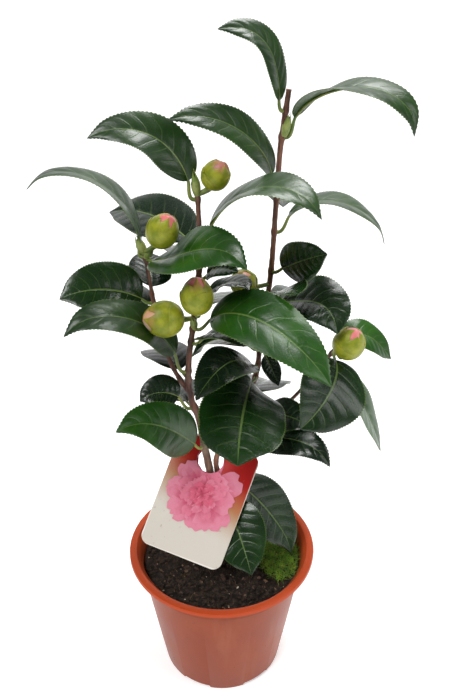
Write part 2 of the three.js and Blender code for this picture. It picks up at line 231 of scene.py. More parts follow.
def levels_from(links, seeds):
    """Points grouped by how many edges they lie from the seeds."""
    levels, seen = [set(seeds)], set(seeds)
    while True:
        outer = {other for point in levels[-1] for other in links[point]} - seen
        if not outer:
            return levels
        levels.append(outer)
        seen |= outer


def stem_line(node, sides=8):
    """Centre points and radii of a stem solid's rings, from its foot to its top."""
    points, links = merged_solid(node)
    foot = points[np.argmin(points[:, 2])]
    seeds = np.argsort(np.linalg.norm(points - foot, axis=1))[:sides]
    rings = [points[sorted(level)] for level in levels_from(links, seeds.tolist())]
    centres = np.array([ring.mean(axis=0) for ring in rings])
    radii = np.array([np.linalg.norm(ring - ring.mean(axis=0), axis=1).mean() for ring in rings])
    return centres, radii


STEM_LINES = {name: stem_line(name) for name in STEMS}


def nearest_on_stems(place):
    """The point of the stems' centre lines nearest to a place."""
    best = None
    for centres, _ in STEM_LINES.values():
        for start, end in zip(centres, centres[1:]):
            along = end - start
            part = np.clip(np.dot(place - start, along) / np.dot(along, along), 0, 1)
            point = start + part * along
            gap = np.linalg.norm(place - point)
            if best is None or gap < best[0]:
                best = (gap, point)
    return best[1]


# ---------------------------------------------------------------- finishes

class Finish:
    """A material under construction: short calls that add nodes and join them up."""

    def __init__(self, name):
        self.material = bpy.data.materials.new(name)
        self.material.use_nodes = True
        self.tree = self.material.node_tree
        self.shader = self.tree.nodes["Principled BSDF"]

    def plug(self, socket, value):
        if isinstance(value, bpy.types.NodeSocket):
            self.tree.links.new(value, socket)
        elif isinstance(value, (tuple, list)) and len(value) == 3 and socket.type == "RGBA":
            socket.default_value = (*value, 1)
        else:
            socket.default_value = value

    def add(self, kind, settings=None, **inputs):
        made = self.tree.nodes.new(kind)
        for key, value in (settings or {}).items():
            setattr(made, key, value)
        for key, value in inputs.items():
            self.plug(made.inputs[key.replace("_", " ")], value)
        return made

    def place(self):
        return self.add("ShaderNodeTexCoord").outputs["Object"]

    def math(self, operation, first, second=0.0, third=0.0):
        made = self.tree.nodes.new("ShaderNodeMath")
        made.operation = operation
        for socket, value in zip(made.inputs, (first, second, third)):
            self.plug(socket, value)
        return made.outputs[0]

    def blend(self, amount, first, second):
        made = self.add("ShaderNodeMix", {"data_type": "RGBA"})
        self.plug(made.inputs[0], amount)
        self.plug(made.inputs[6], first)
        self.plug(made.inputs[7], second)
        return made.outputs[2]

    def fade(self, value, low, high, start=0.0, end=1.0):
        made = self.add("ShaderNodeMapRange", {"interpolation_type": "SMOOTHSTEP"})
        for socket, given in zip(made.inputs, (value, low, high, start, end)):
            self.plug(socket, given)
        return made.outputs[0]

    def grain(self, scale, detail=3.0, roughness=0.55, stretch=None, where=None):
        vector = where or self.place()
        if stretch:
            vector = self.add("ShaderNodeMapping", Vector=vector, Scale=stretch).outputs[0]
        return self.add("ShaderNodeTexNoise", Vector=vector, Scale=scale, Detail=detail,
                        Roughness=roughness).outputs[0]

    def cells(self, scale, feature="F1"):
        return self.add("ShaderNodeTexVoronoi", {"feature": feature}, Vector=self.place(),
                        Scale=scale).outputs[0]

    def bump(self, height, strength, distance):
        return self.add("ShaderNodeBump", Strength=strength, Distance=distance, Height=height).outputs[0]

    def done(self, **inputs):
        for key, value in inputs.items():
            self.plug(self.shader.inputs[key.replace("_", " ")], value)
        return self.material


def leaf_pattern(finish, vein_pairs):
    """Masks drawn on a leaf's own map: midrib, side veins and edge."""
    spot = finish.add("ShaderNodeSeparateXYZ", Vector=finish.add("ShaderNodeUVMap").outputs[0])
    across, along = spot.outputs[0], spot.outputs[1]
    out = finish.math("ABSOLUTE", finish.math("MULTIPLY_ADD", across, 2.0, -1.0))
    side = finish.math("GREATER_THAN", across, 0.5)
    wobble = finish.math("MULTIPLY_ADD", finish.grain(60.0, 1.0), 0.5, -0.25)
    sweep = finish.math("MULTIPLY", finish.math("POWER", out, VEIN_BEND), VEIN_SWEEP * vein_pairs)
    order = finish.math("MULTIPLY_ADD", along, float(vein_pairs), wobble)
    order = finish.math("SUBTRACT", order, sweep)
    order = finish.math("MULTIPLY_ADD", side, VEIN_STAGGER, order)
    off_vein = finish.math("ABSOLUTE", finish.math("SUBTRACT", finish.math("FRACT", order), 0.5))
    vein = finish.fade(off_vein, 0.015, 0.075, 1.0, 0.0)
    vein = finish.math("MULTIPLY", vein, finish.fade(out, 0.35, 0.95, 1.0, 0.12))
    vein = finish.math("MULTIPLY", vein, finish.fade(along, 0.84, 0.96, 1.0, 0.0))
    rib_width = finish.math("MULTIPLY_ADD", along, -0.025, 0.048)
    rib = finish.fade(out, finish.math("MULTIPLY", rib_width, 0.55), rib_width, 1.0, 0.0)
    edge = finish.fade(out, 0.965, 0.995)
    return rib, vein, edge


def leaf_finish(name, deep, fresh, rib_colour, vein_pairs, gloss):
    f = Finish(name)
    rib, vein, edge = leaf_pattern(f, vein_pairs)
    colour = f.blend(f.fade(f.grain(28.0, 4.0), 0.35, 0.7), deep, fresh)
    colour = f.blend(f.math("MULTIPLY", f.fade(f.grain(260.0, 2.0), 0.45, 0.75), 0.35), colour, fresh)
    soft_vein = f.blend(0.45, fresh, rib_colour)
    colour = f.blend(f.math("MULTIPLY", vein, 0.34), colour, soft_vein)
    colour = f.blend(f.math("MULTIPLY", rib, 0.7), colour, rib_colour)
    colour = f.blend(f.math("MULTIPLY", edge, 0.6), colour, rib_colour)
    net = f.cells(420.0, "DISTANCE_TO_EDGE")
    height = f.math("SUBTRACT", f.fade(net, 0.0, 0.12, -0.2, 0.0), f.math("MULTIPLY", vein, 0.7))
    height = f.math("SUBTRACT", height, f.math("MULTIPLY", rib, 0.8))
    rough = f.math("MULTIPLY_ADD", f.grain(90.0, 3.0), 0.22, gloss - 0.08)
    return f.done(Base_Color=colour, Roughness=rough, Specular_IOR_Level=0.5,
                  Normal=f.bump(height, 0.4, 0.0003))


def leaf_back_finish(name, colour_dull, colour_pale, vein_pairs):
    f = Finish(name)
    rib, vein, edge = leaf_pattern(f, vein_pairs)
    colour = f.blend(f.fade(f.grain(40.0, 4.0), 0.3, 0.7), colour_dull, colour_pale)
    colour = f.blend(f.math("MULTIPLY", f.math("MAXIMUM", vein, rib), 0.6), colour, (0.17, 0.21, 0.07))
    colour = f.blend(f.math("MULTIPLY", edge, 0.5), colour, (0.20, 0.22, 0.09))
    height = f.math("ADD", f.math("MAXIMUM", vein, rib), f.math("MULTIPLY", f.grain(500.0, 2.0), 0.4))
    return f.done(Base_Color=colour, Roughness=0.58, Specular_IOR_Level=0.35,
                  Normal=f.bump(height, 0.5, 0.0004))


def petiole_finish():
    f = Finish("leaf_stalk")
    colour = f.blend(f.fade(f.grain(90.0, 3.0), 0.35, 0.7), (0.10, 0.16, 0.025), (0.24, 0.27, 0.055))
    return f.done(Base_Color=colour, Roughness=0.45, Normal=f.bump(f.grain(700.0, 2.0), 0.3, 0.0003))


def bark_finish(name, dark, light, reach):
    f = Finish(name)
    streaks = f.grain(300.0, 5.0, 0.6, stretch=(1.0, 1.0, 0.16))
    patches = f.grain(70.0, 4.0)
    colour = f.blend(f.fade(streaks, 0.35, 0.68), dark, light)
    colour = f.blend(f.math("MULTIPLY", f.fade(patches, 0.5, 0.72), reach), colour, (0.26, 0.20, 0.14))
    pores = f.fade(f.cells(900.0), 0.05, 0.2, 1.0, 0.0)
    height = f.math("ADD", streaks, f.math("MULTIPLY", pores, 0.3))
    return f.done(Base_Color=colour, Roughness=0.68, Normal=f.bump(height, 0.8, 0.0006))


# ---------------------------------------------------------------- settings

class PotSettings(bpy.types.PropertyGroup):
    """Sizes and colours of the nursery pot."""
    wall: FloatProperty(name="Wall", description="Thickness of the pot's wall", default=1.8 * MM,
                        unit="LENGTH")
    lip_width: FloatProperty(name="Lip width", description="Width of the flat lip", default=5.7 * MM,
                             unit="LENGTH")
    lip_depth: FloatProperty(name="Lip depth", description="Height of the lip's outer face",
                             default=4 * MM, unit="LENGTH")
    collar: FloatProperty(name="Collar", description="Height of the band under the lip",
                          default=12 * MM, unit="LENGTH")
    foot_radius: FloatProperty(name="Foot radius", description="Radius of the pot's foot",
                               default=50 * MM, unit="LENGTH")
    notches: IntProperty(name="Notches", description="Drain notches round the foot", default=6)
    clay: FloatVectorProperty(name="Clay", description="Main plastic colour", subtype="COLOR",
                              default=(0.25, 0.040, 0.010))
    worn: FloatVectorProperty(name="Worn", description="Paler, dusty plastic", subtype="COLOR",
                              default=(0.30, 0.058, 0.018))


class SoilSettings(bpy.types.PropertyGroup):
    """Sizes, counts and colours of the compost and its crumbs."""
    crumbs: IntProperty(name="Crumbs", description="Dark crumbs on the surface", default=1500)
    chips: IntProperty(name="Chips", description="Small bark chips", default=220)
    grit: IntProperty(name="Grit", description="Pale grit grains", default=110)
    dark: FloatVectorProperty(name="Dark", description="Damp compost", subtype="COLOR",
                              default=(0.012, 0.008, 0.006))
    light: FloatVectorProperty(name="Light", description="Dry compost", subtype="COLOR",
                               default=(0.060, 0.038, 0.024))


class MossSettings(bpy.types.PropertyGroup):
    """Count and length of the moss shoots."""
    shoots: IntProperty(name="Shoots", description="Number of moss shoots", default=1300)
    length: FloatProperty(name="Length", description="Longest moss shoot", default=9 * MM, unit="LENGTH")


class StemSettings(bpy.types.PropertyGroup):
    """Relief and colours of the bark."""
    relief: FloatProperty(name="Relief", description="Depth of the bark's relief", default=0.22 * MM,
                          unit="LENGTH")
    dark: FloatVectorProperty(name="Dark", description="Dark bark", subtype="COLOR",
                              default=(0.050, 0.026, 0.018))
    light: FloatVectorProperty(name="Light", description="Light bark", subtype="COLOR",
                               default=(0.19, 0.095, 0.055))


class LeafSettings(bpy.types.PropertyGroup):
    """Sizes and counts shared by all the leaves."""
    thickness: FloatProperty(name="Thickness", description="Thickness of the blade", default=0.42 * MM,
                             unit="LENGTH")
    fold: FloatProperty(name="Fold", description="How steeply the halves rise from the midrib", default=0.2)
    tooth: FloatProperty(name="Tooth", description="Depth of the teeth along the edge", default=0.5 * MM,
                         unit="LENGTH")
    quilting: FloatProperty(name="Quilting", description="Height of the blade between two veins",
                            default=0.153 * MM, unit="LENGTH")
    vein_pairs: IntProperty(name="Vein pairs", description="Side veins on each half", default=8)


class BudSettings(bpy.types.PropertyGroup):
    """Counts and colours of the flower buds."""
    scales: IntProperty(name="Scales", description="Overlapping scales on a flower bud", default=7)
    green: FloatVectorProperty(name="Green", description="Scale colour", subtype="COLOR",
                               default=(0.17, 0.21, 0.008))
    petal: FloatVectorProperty(name="Petal", description="Colour of the petals at the tip", subtype="COLOR",
                               default=(0.66, 0.13, 0.13))


class LabelSettings(bpy.types.PropertyGroup):
    """Places and colours on the care label."""
    flower_radius: FloatProperty(name="Flower", description="Radius of the printed flower",
                                 default=32 * MM, unit="LENGTH")
    flower_below_hole: FloatProperty(name="Flower drop", description="From the hole to the flower's centre",
                                     default=26.5 * MM, unit="LENGTH")
    red: FloatVectorProperty(name="Red", description="Colour at the label's top", subtype="COLOR",
                             default=(0.40, 0.012, 0.010))
    cream: FloatVectorProperty(name="Cream", description="Colour at the label's foot", subtype="COLOR",
                               default=(0.62, 0.57, 0.50))


class StageSettings(bpy.types.PropertyGroup):
    """Camera, floor and light."""
    eye_height: FloatProperty(name="Eye height", description="Height of the camera", default=0.527,
                              unit="LENGTH")
    eye_distance: FloatProperty(name="Eye distance", description="From the camera to the pot's middle",
                                default=0.441, unit="LENGTH")
    eye_offset: FloatProperty(name="Eye offset", description="The camera's place to the right",
                              default=0.0076, unit="LENGTH")
    pitch: FloatProperty(name="Pitch", description="How far the camera looks down",
                         default=math.radians(27.9), unit="ROTATION")
    lens: FloatProperty(name="Lens", description="Focal length in millimetres", default=36.5)
    floor: FloatVectorProperty(name="Floor", description="Floor and backdrop", subtype="COLOR",
                               default=(0.86, 0.86, 0.86))


class CamelliaSettings(bpy.types.PropertyGroup):
    """All the settings of the potted camellia."""
    pot: PointerProperty(type=PotSettings)
    soil: PointerProperty(type=SoilSettings)
    moss: PointerProperty(type=MossSettings)
    stems: PointerProperty(type=StemSettings)
    leaves: PointerProperty(type=LeafSettings)
    buds: PointerProperty(type=BudSettings)
    label: PointerProperty(type=LabelSettings)
    stage: PointerProperty(type=StageSettings)


# ---------------------------------------------------------------- pot

def plastic_finish(sizes):
    f = Finish("terracotta_plastic")
    haze = f.grain(22.0, 5.0, 0.65)
    streaks = f.grain(55.0, 4.0, 0.6, stretch=(1.0, 1.0, 0.12))
    height = f.add("ShaderNodeSeparateXYZ", Vector=f.place()).outputs[2]
    colour = f.blend(f.fade(haze, 0.35, 0.75), tuple(sizes.clay), tuple(sizes.worn))
    colour = f.blend(f.math("MULTIPLY", f.fade(streaks, 0.52, 0.75), 0.22), colour, (0.40, 0.14, 0.07))
    # Painted highlight: everything from the top of the collar up, the lip and its flat top, is painted a
    # brighter orange, as if lit from above.
    colour = f.blend(f.math("MULTIPLY", f.fade(height, 0.109, 0.112), 0.85), colour, (0.50, 0.062, 0.012))
    dirt = f.math("MULTIPLY", f.fade(f.grain(160.0, 6.0, 0.7), 0.60, 0.72), 0.35)
    colour = f.blend(dirt, colour, (0.11, 0.035, 0.018))
    rough = f.math("MULTIPLY_ADD", haze, 0.28, 0.26)
    bumps = f.math("ADD", f.math("MULTIPLY", f.grain(900.0, 2.0), 0.5), streaks)
    return f.done(Base_Color=colour, Roughness=rough, Specular_IOR_Level=0.2,
                  Normal=f.bump(bumps, 0.12, 0.0004))


def build_pot(sizes):
    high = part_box("pot")[1]
    top, rim = high[2], high[0]
    collar_top = top - sizes.lip_depth
    collar_foot = collar_top - sizes.collar
    collar = rim - COLLAR_INSET
    body = collar - COLLAR_STEP
    foot = sizes.foot_radius
    outline = [
        (0, 0), (foot - 1.5 * MM, 0), (foot - 0.4 * MM, 0.5 * MM), (foot + 0.1 * MM, 1.6 * MM),
        (body, collar_foot - 0.3 * MM), (body + 0.5 * MM, collar_foot + 0.1 * MM),
        (collar - 0.6 * MM, collar_foot + 0.9 * MM), (collar, collar_top - 0.6 * MM),
        (collar + 0.6 * MM, collar_top), (rim - 0.8 * MM, collar_top), (rim, collar_top + 0.8 * MM),
        (rim, top - 1.1 * MM), (rim - 0.35 * MM, top - 0.3 * MM), (rim - 1.2 * MM, top),
        (rim - sizes.lip_width + 0.9 * MM, top), (rim - sizes.lip_width, top - 0.5 * MM),
        (rim - sizes.lip_width - 0.9 * MM, top - 2.2 * MM), (collar - sizes.wall, collar_top - 2 * MM),
        (body - sizes.wall, collar_foot - 2 * MM), (foot - sizes.wall, 3.4 * MM),
        (foot - sizes.wall - 1 * MM, 2.4 * MM), (0, 2.4 * MM),
    ]
    piece = new_primitive("pot_shell", bpy.ops.mesh.primitive_plane_add, size=1)
    mesh = bmesh.new()
    corners = [mesh.verts.new((radius, 0, height)) for radius, height in outline]
    for start, end in zip(corners, corners[1:]):
        mesh.edges.new((start, end))
    mesh.to_mesh(piece.data)
    mesh.free()
    select_only(piece)
    bpy.ops.object.mode_set(mode="EDIT")
    bpy.ops.mesh.select_all(action="SELECT")
    bpy.ops.mesh.spin(steps=144, angle=2 * math.pi, center=(0, 0, 0), axis=(0, 0, 1))
    bpy.ops.object.mode_set(mode="OBJECT")
    merge_close(piece, 0.02 * MM, recalculate=True)
    cutters = []
    for index in range(sizes.notches):
        turn = FIRST_NOTCH + index * 2 * math.pi / sizes.notches
        at = Matrix.Rotation(turn, 4, "Z") @ Vector((0, -foot, 0))
        cutter = new_primitive(f"notch_{index}", bpy.ops.mesh.primitive_cube_add, size=1, location=at,
                               rotation=(0, 0, turn), scale=NOTCH_SIZE)
        place_in_mesh(cutter)
        apply_modifier(cutter, "BEVEL", width=1.2 * MM, segments=3)
        cutters.append(cutter)
    cutter = join_pieces(cutters, "notches")
    apply_modifier(piece, "BOOLEAN", operation="DIFFERENCE", object=cutter, solver="EXACT")
    bpy.data.objects.remove(cutter)
    piece.data.materials.clear()
    piece.data.materials.append(plastic_finish(sizes))
    finish_piece(piece, ["pot"], smooth=32)
    build_pot_specks(rim, top, body, foot, collar_foot)


def build_pot_specks(rim, top, body, foot, collar_foot):
    """Grains of compost that cling to the lip and the wall."""
    draw = random.Random(11)
    f = Finish("clinging_soil")
    grains = f.done(Base_Color=f.blend(f.grain(500.0), (0.015, 0.009, 0.006), (0.10, 0.05, 0.03)),
                    Roughness=0.9)
    on_lip, on_wall = 60, 90
    points, faces = [], []
    for index in range(on_lip + on_wall):
        turn = draw.uniform(0, 2 * math.pi)
        if index < on_lip:
            radius, height = rim - draw.uniform(0.6, 5.2) * MM, top
            lift = Vector((0, 0, 1))
        else:
            height = 6 * MM + (collar_foot - 8 * MM) * draw.random() ** 0.7
            radius = foot + (body - foot) * height / collar_foot
            lift = Vector((math.cos(turn), math.sin(turn), -0.15)).normalized()
        centre = Vector((radius * math.cos(turn), radius * math.sin(turn), height))
        size = draw.uniform(0.12, 0.42) * MM
        side = lift.orthogonal().normalized()
        other = lift.cross(side)
        base = len(points)
        for corner in range(6):
            angle = corner * math.pi / 3
            reach = size * draw.uniform(0.7, 1.3)
            points.append(centre + side * reach * math.cos(angle) + other * reach * math.sin(angle)
                          - lift * 0.1 * MM)
        points.append(centre + lift * size * 0.6)
        points.append(centre - lift * 0.3 * MM)
        for corner in range(6):
            after = (corner + 1) % 6
            faces.append((base + corner, base + after, base + 6))
            faces.append((base + after, base + corner, base + 7))
    piece = mesh_from_arrays("pot_specks", np.array(points), np.array(faces), grains)
    finish_piece(piece)


# ---------------------------------------------------------------- soil and moss

def soil_height(x, y, level):
    """The uneven surface of the compost above the plain level."""
    lumps = noise.fractal(Vector((x * 90, y * 90, 3.1)), 0.8, 2.2, 5)
    broad = noise.noise(Vector((x * 28, y * 28, 7.7)))
    return level + (1.5 * lumps + 1.3 * broad) * MM


def soil_finish(name, dark, light, scale):
    f = Finish(name)
    clumps = f.grain(scale, 6.0, 0.7)
    colour = f.blend(f.fade(clumps, 0.42, 0.72), dark, light)
    colour = f.blend(f.math("MULTIPLY", f.fade(f.grain(scale * 3, 3.0), 0.66, 0.74), 0.5), colour,
                     (0.13, 0.085, 0.05))
    return f.done(Base_Color=colour, Roughness=0.88, Specular_IOR_Level=0.25,
                  Normal=f.bump(f.grain(scale * 1.5, 6.0, 0.75), 1.0, 0.0012))


def scattered_stones(name, count, spread, sizes, seed, finish, squash, subdivisions):
    """Many small uneven grains on the compost, joined in one mesh."""
    draw = random.Random(seed)
    grain = new_primitive("grain", bpy.ops.mesh.primitive_ico_sphere_add, subdivisions=subdivisions,
                          radius=1)
    shape = get_points(grain)
    ties = np.array([polygon.vertices[:] for polygon in grain.data.polygons])
    bpy.data.objects.remove(grain)
    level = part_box("soil")[1][2]
    points, faces = [], []
    for _ in range(count):
        turn, reach = draw.uniform(0, 2 * math.pi), spread * math.sqrt(draw.random())
        x, y = reach * math.cos(turn), reach * math.sin(turn)
        size = sizes[0] + (sizes[1] - sizes[0]) * draw.random() ** 3
        stretch = np.array([draw.uniform(0.7, 1.5), draw.uniform(0.6, 1.1), squash * draw.uniform(0.5, 1.0)])
        offset = Vector((draw.random() * 50, draw.random() * 50, draw.random() * 50))
        uneven = np.array([1 + 0.35 * noise.noise(Vector(point) * 1.4 + offset) for point in shape])
        spin = np.array(Matrix.Rotation(draw.uniform(0, START_TURNS), 3, "Z")
                        @ Matrix.Rotation(draw.gauss(0, 0.5), 3, "X"))
        body = (shape * uneven[:, None] * stretch * size) @ spin.T
        body += (x, y, soil_height(x, y, level - 0.6 * MM) + size * 0.25 * squash)
        faces.append(ties + len(points) * len(shape))
        points.append(body)
    return mesh_from_arrays(name, np.concatenate(points), np.concatenate(faces), finish)


def build_soil(sizes):
    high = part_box("soil")[1]
    reach, level = high[0], high[2]
    piece = new_primitive("soil_surface", bpy.ops.mesh.primitive_grid_add, x_subdivisions=150,
                          y_subdivisions=150, size=2)
    flat = get_points(piece)
    square = np.max(np.abs(flat[:, :2]), axis=1)
    round_off = np.linalg.norm(flat[:, :2], axis=1)
    scale = np.where(round_off > 0, square / np.maximum(round_off, 1e-9), 0)
    spots = flat[:, :2] * scale[:, None] * (reach + 0.3 * MM)
    heights = [soil_height(x, y, level - 0.6 * MM) for x, y in spots]
    set_points(piece, np.column_stack([spots, heights]))
    apply_modifier(piece, "SOLIDIFY", thickness=3 * MM, offset=-1)
    piece.data.materials.append(soil_finish("damp_compost", tuple(sizes.dark), tuple(sizes.light), 260.0))
    finish_piece(piece, ["soil"])

    crumb = soil_finish("compost_crumb", (0.010, 0.007, 0.005), (0.075, 0.046, 0.028), 420.0)
    f = Finish("bark_chip")
    colour = f.blend(f.fade(f.grain(180.0), 0.4, 0.65), (0.05, 0.025, 0.014), (0.20, 0.11, 0.06))
    chip = f.done(Base_Color=colour, Roughness=0.8, Normal=f.bump(f.grain(900.0), 0.6, 0.0004))
    f = Finish("pale_grit")
    colour = f.blend(f.fade(f.grain(200.0), 0.4, 0.6), (0.28, 0.23, 0.15), (0.62, 0.56, 0.42))
    grit = f.done(Base_Color=colour, Roughness=0.7)
    kinds = (
        ("soil_crumbs", sizes.crumbs, reach - 1.5 * MM, (0.5 * MM, 2.6 * MM), 5, crumb, 1.0, 2),
        ("soil_chips", sizes.chips, reach - 2 * MM, (0.7 * MM, 2.4 * MM), 8, chip, 0.3, 1),
        ("soil_grit", sizes.grit, reach - 2 * MM, (0.25 * MM, 0.9 * MM), 21, grit, 0.9, 1),
    )
    for kind in kinds:
        finish_piece(scattered_stones(*kind))


def ribbon_shoots(name, count, seed, finish, home, spread, longest, keep):
    """Fine pointed shoots, each a three-sided curved spike, joined in one mesh."""
    draw = random.Random(seed)
    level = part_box("soil")[1][2]
    points, faces = [], []
    steps = 4
    while count > 0:
        turn, part = draw.uniform(0, 2 * math.pi), math.sqrt(draw.random())
        x = home[0] + spread[0] * part * math.cos(turn)
        y = home[1] + spread[1] * part * math.sin(turn)
        if not keep(x, y):
            continue
        count -= 1
        heading, length = draw.uniform(0, 2 * math.pi), longest * draw.uniform(0.35, 1.0)
        rise, droop = draw.uniform(0.2, 1.2), draw.uniform(0.2, 1.3)
        place = Vector((x, y, soil_height(x, y, level) + draw.uniform(-0.5, 1.6) * MM))
        width = draw.uniform(0.16, 0.42) * MM
        base = len(points)
        for step in range(steps):
            angle = rise - droop * step / steps
            level_part = math.cos(angle)
            along = Vector((math.cos(heading) * level_part, math.sin(heading) * level_part,
                            math.sin(angle)))
            side = Vector((-math.sin(heading), math.cos(heading), 0))
            above = side.cross(along)
            size = width * (1 - step / steps)
            points += [place + side * size, place - side * size, place - above * size]
            place = place + along * length / steps
            heading += draw.gauss(0, 0.25)
        points.append(place)
        for step in range(steps - 1):
            for corner in range(3):
                a, b = base + 3 * step + corner, base + 3 * step + (corner + 1) % 3
                faces += [(a, b, b + 3), (a, b + 3, a + 3)]
        last = base + 3 * (steps - 1)
        faces += [(last, last + 1, last + 3), (last + 1, last + 2, last + 3), (last + 2, last, last + 3)]
        faces.append((base, base + 2, base + 1))
    return mesh_from_arrays(name, np.array(points), np.array(faces), finish)


def build_moss(sizes):
    low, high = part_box("moss")
    home = ((low[0] + high[0]) / 2, (low[1] + high[1]) / 2)
    spread = ((high[0] - low[0]) / 2 + 2 * MM, (high[1] - low[1]) / 2 + 6 * MM)
    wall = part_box("soil")[1][0] - 0.5 * MM

    def inside(x, y):
        return math.hypot(x, y) < wall

    tints = (("moss_green", (0.05, 0.15, 0.008), (0.18, 0.36, 0.02)),
             ("moss_straw", (0.14, 0.18, 0.015), (0.34, 0.40, 0.05)))
    for index, (name, dark, light) in enumerate(tints):
        f = Finish(name + "_tint")
        tint = f.done(Base_Color=f.blend(f.fade(f.grain(120.0), 0.35, 0.65), dark, light), Roughness=0.75)
        count = sizes.shoots if index == 0 else sizes.shoots // 3
        piece = ribbon_shoots(name, count, 31 + index, tint, home, spread, sizes.length, inside)
        finish_piece(piece, ["moss"] if index == 0 else ())
    f = Finish("dry_stalk")
    straw = f.done(Base_Color=f.blend(f.grain(100.0), (0.04, 0.022, 0.012), (0.15, 0.09, 0.045)),
                   Roughness=0.8)
    piece = ribbon_shoots("soil_fibres", 110, 77, straw, (0, 0), (wall, wall), 8 * MM, inside)
    finish_piece(piece)


# ---------------------------------------------------------------- stems

def build_stems(sizes):
    finishes = {
        "trunk": bark_finish("trunk_bark", tuple(sizes.dark), tuple(sizes.light), 0.7),
        "right_stem": bark_finish("red_bark", (0.075, 0.026, 0.016), (0.25, 0.105, 0.06), 0.25),
    }
    brown = bark_finish("young_bark", (0.050, 0.018, 0.012), (0.19, 0.075, 0.045), 0.3)
    joints = [np.array(leaf_base(name)) for name in LEAVES]
    for name in STEMS:
        centres, radii = STEM_LINES[name]
        knots = np.linspace(0, 1, len(centres))
        length = np.linalg.norm(np.diff(centres, axis=0), axis=1).sum()
        places = np.linspace(0, 1, max(24, int(length / (0.9 * MM))))
        path = smooth_through(knots, centres, places)
        thickness = smooth_through(knots, radii, places)
        for joint in joints:
            gap = np.linalg.norm(path - joint, axis=1)
            if gap.min() < 6 * MM:
                thickness = thickness + 0.55 * MM * np.exp(-(gap ** 2 - gap.min() ** 2) / (2.2 * MM) ** 2)
        start = path[0] - path[1]
        reach = 5 * MM if name == "trunk" else 3.2 * MM
        path = np.vstack([path[0] + unit(start) * reach, path])
        thickness = np.concatenate([[thickness[0] * 1.15], thickness])
        piece = make_tube(name + "_bark", path, thickness, roundness=4)
        points = get_points(piece)
        normals = np.array([vertex.normal[:] for vertex in piece.data.vertices])
        relief = np.array([noise.fractal(Vector((x * 700, y * 700, z * 190)), 0.7, 2.0, 4)
                           for x, y, z in points])
        set_points(piece, points + normals * (relief * sizes.relief)[:, None])
        piece.data.materials.clear()
        piece.data.materials.append(finishes.get(name, brown))
        finish_piece(piece, [name], smooth=50)


# ---------------------------------------------------------------- leaves

SECTION = 6
STATIONS = np.array([0, 0.08, 0.25, 0.45, 0.68, 0.88, 1])


def leaf_levels(node):
    """The leaf solid's points and its rings, from the tip back to the foot of the stalk."""
    points, links = merged_solid(node)
    for tip, around in enumerate(links):
        if len(around) != SECTION:
            continue
        levels = levels_from(links, {tip})
        if len(levels) == len(STATIONS) + 1 and all(len(level) == SECTION for level in levels[1:]):
            return points, links, levels
    raise RuntimeError(f"{node} has no tip to start from")


def leaf_base(node):
    points, _, levels = leaf_levels(node)
    return points[sorted(levels[-1])].mean(axis=0)


def ring_in_order(links, level):
    ring = [min(level)]
    while len(ring) < len(level):
        ring.append(next(other for other in sorted(links[ring[-1]] & level) if other not in ring))
    return ring


def read_leaf(node):
    """Centres, upper-face directions and half widths along the blade, and where the stalk starts."""
    points, links, levels = leaf_levels(node)
    centres, normals, halves = [], [], []
    for level in levels[-2:0:-1]:
        ring = ring_in_order(links, level)
        spans = [np.linalg.norm(points[ring[corner - 1]] - points[ring[(corner + 1) % SECTION]])
                 for corner in range(SECTION)]
        under = int(np.argmax(spans))
        over = (under + SECTION // 2) % SECTION
        low, high = points[ring[under]], points[ring[over]]
        centres.append((low + high) / 2)
        normals.append(unit(high - low))
        halves.append(spans[under] / 2)
    tip = points[next(iter(levels[0]))]
    centres.append(tip)
    normals.append(normals[-1])
    return np.array(centres), np.array(normals), np.array(halves), points[sorted(levels[-1])].mean(axis=0)


def blade_shape(along):
    """Half width along the blade as a part of the widest, before the leaf's own fullness."""
    return np.maximum(along, 1e-9) ** 0.55 * np.maximum(1 - along, 1e-9) ** 0.85


def blade_frame(centres, normals, along):
    """Points of the blade's middle line, with its upper-face and sideways directions there."""
    middle = smooth_through(STATIONS, centres, along)
    step = 1e-3
    ahead = smooth_through(STATIONS, centres, np.minimum(along + step, 1))
    behind = smooth_through(STATIONS, centres, np.maximum(along - step, 0))
    tangent = unit(ahead - behind)
    normal = smooth_through(STATIONS, normals, along)
    normal = unit(normal - tangent * np.sum(normal * tangent, axis=1, keepdims=True))
    return middle, normal, np.cross(tangent, normal)


def vein_order(across, along, vein_pairs):
    """Counts along the side veins: one lies half way between each two whole numbers."""
    sweep = VEIN_SWEEP * np.abs(across) ** VEIN_BEND
    return (along - sweep) * vein_pairs + VEIN_STAGGER * (across > 0)


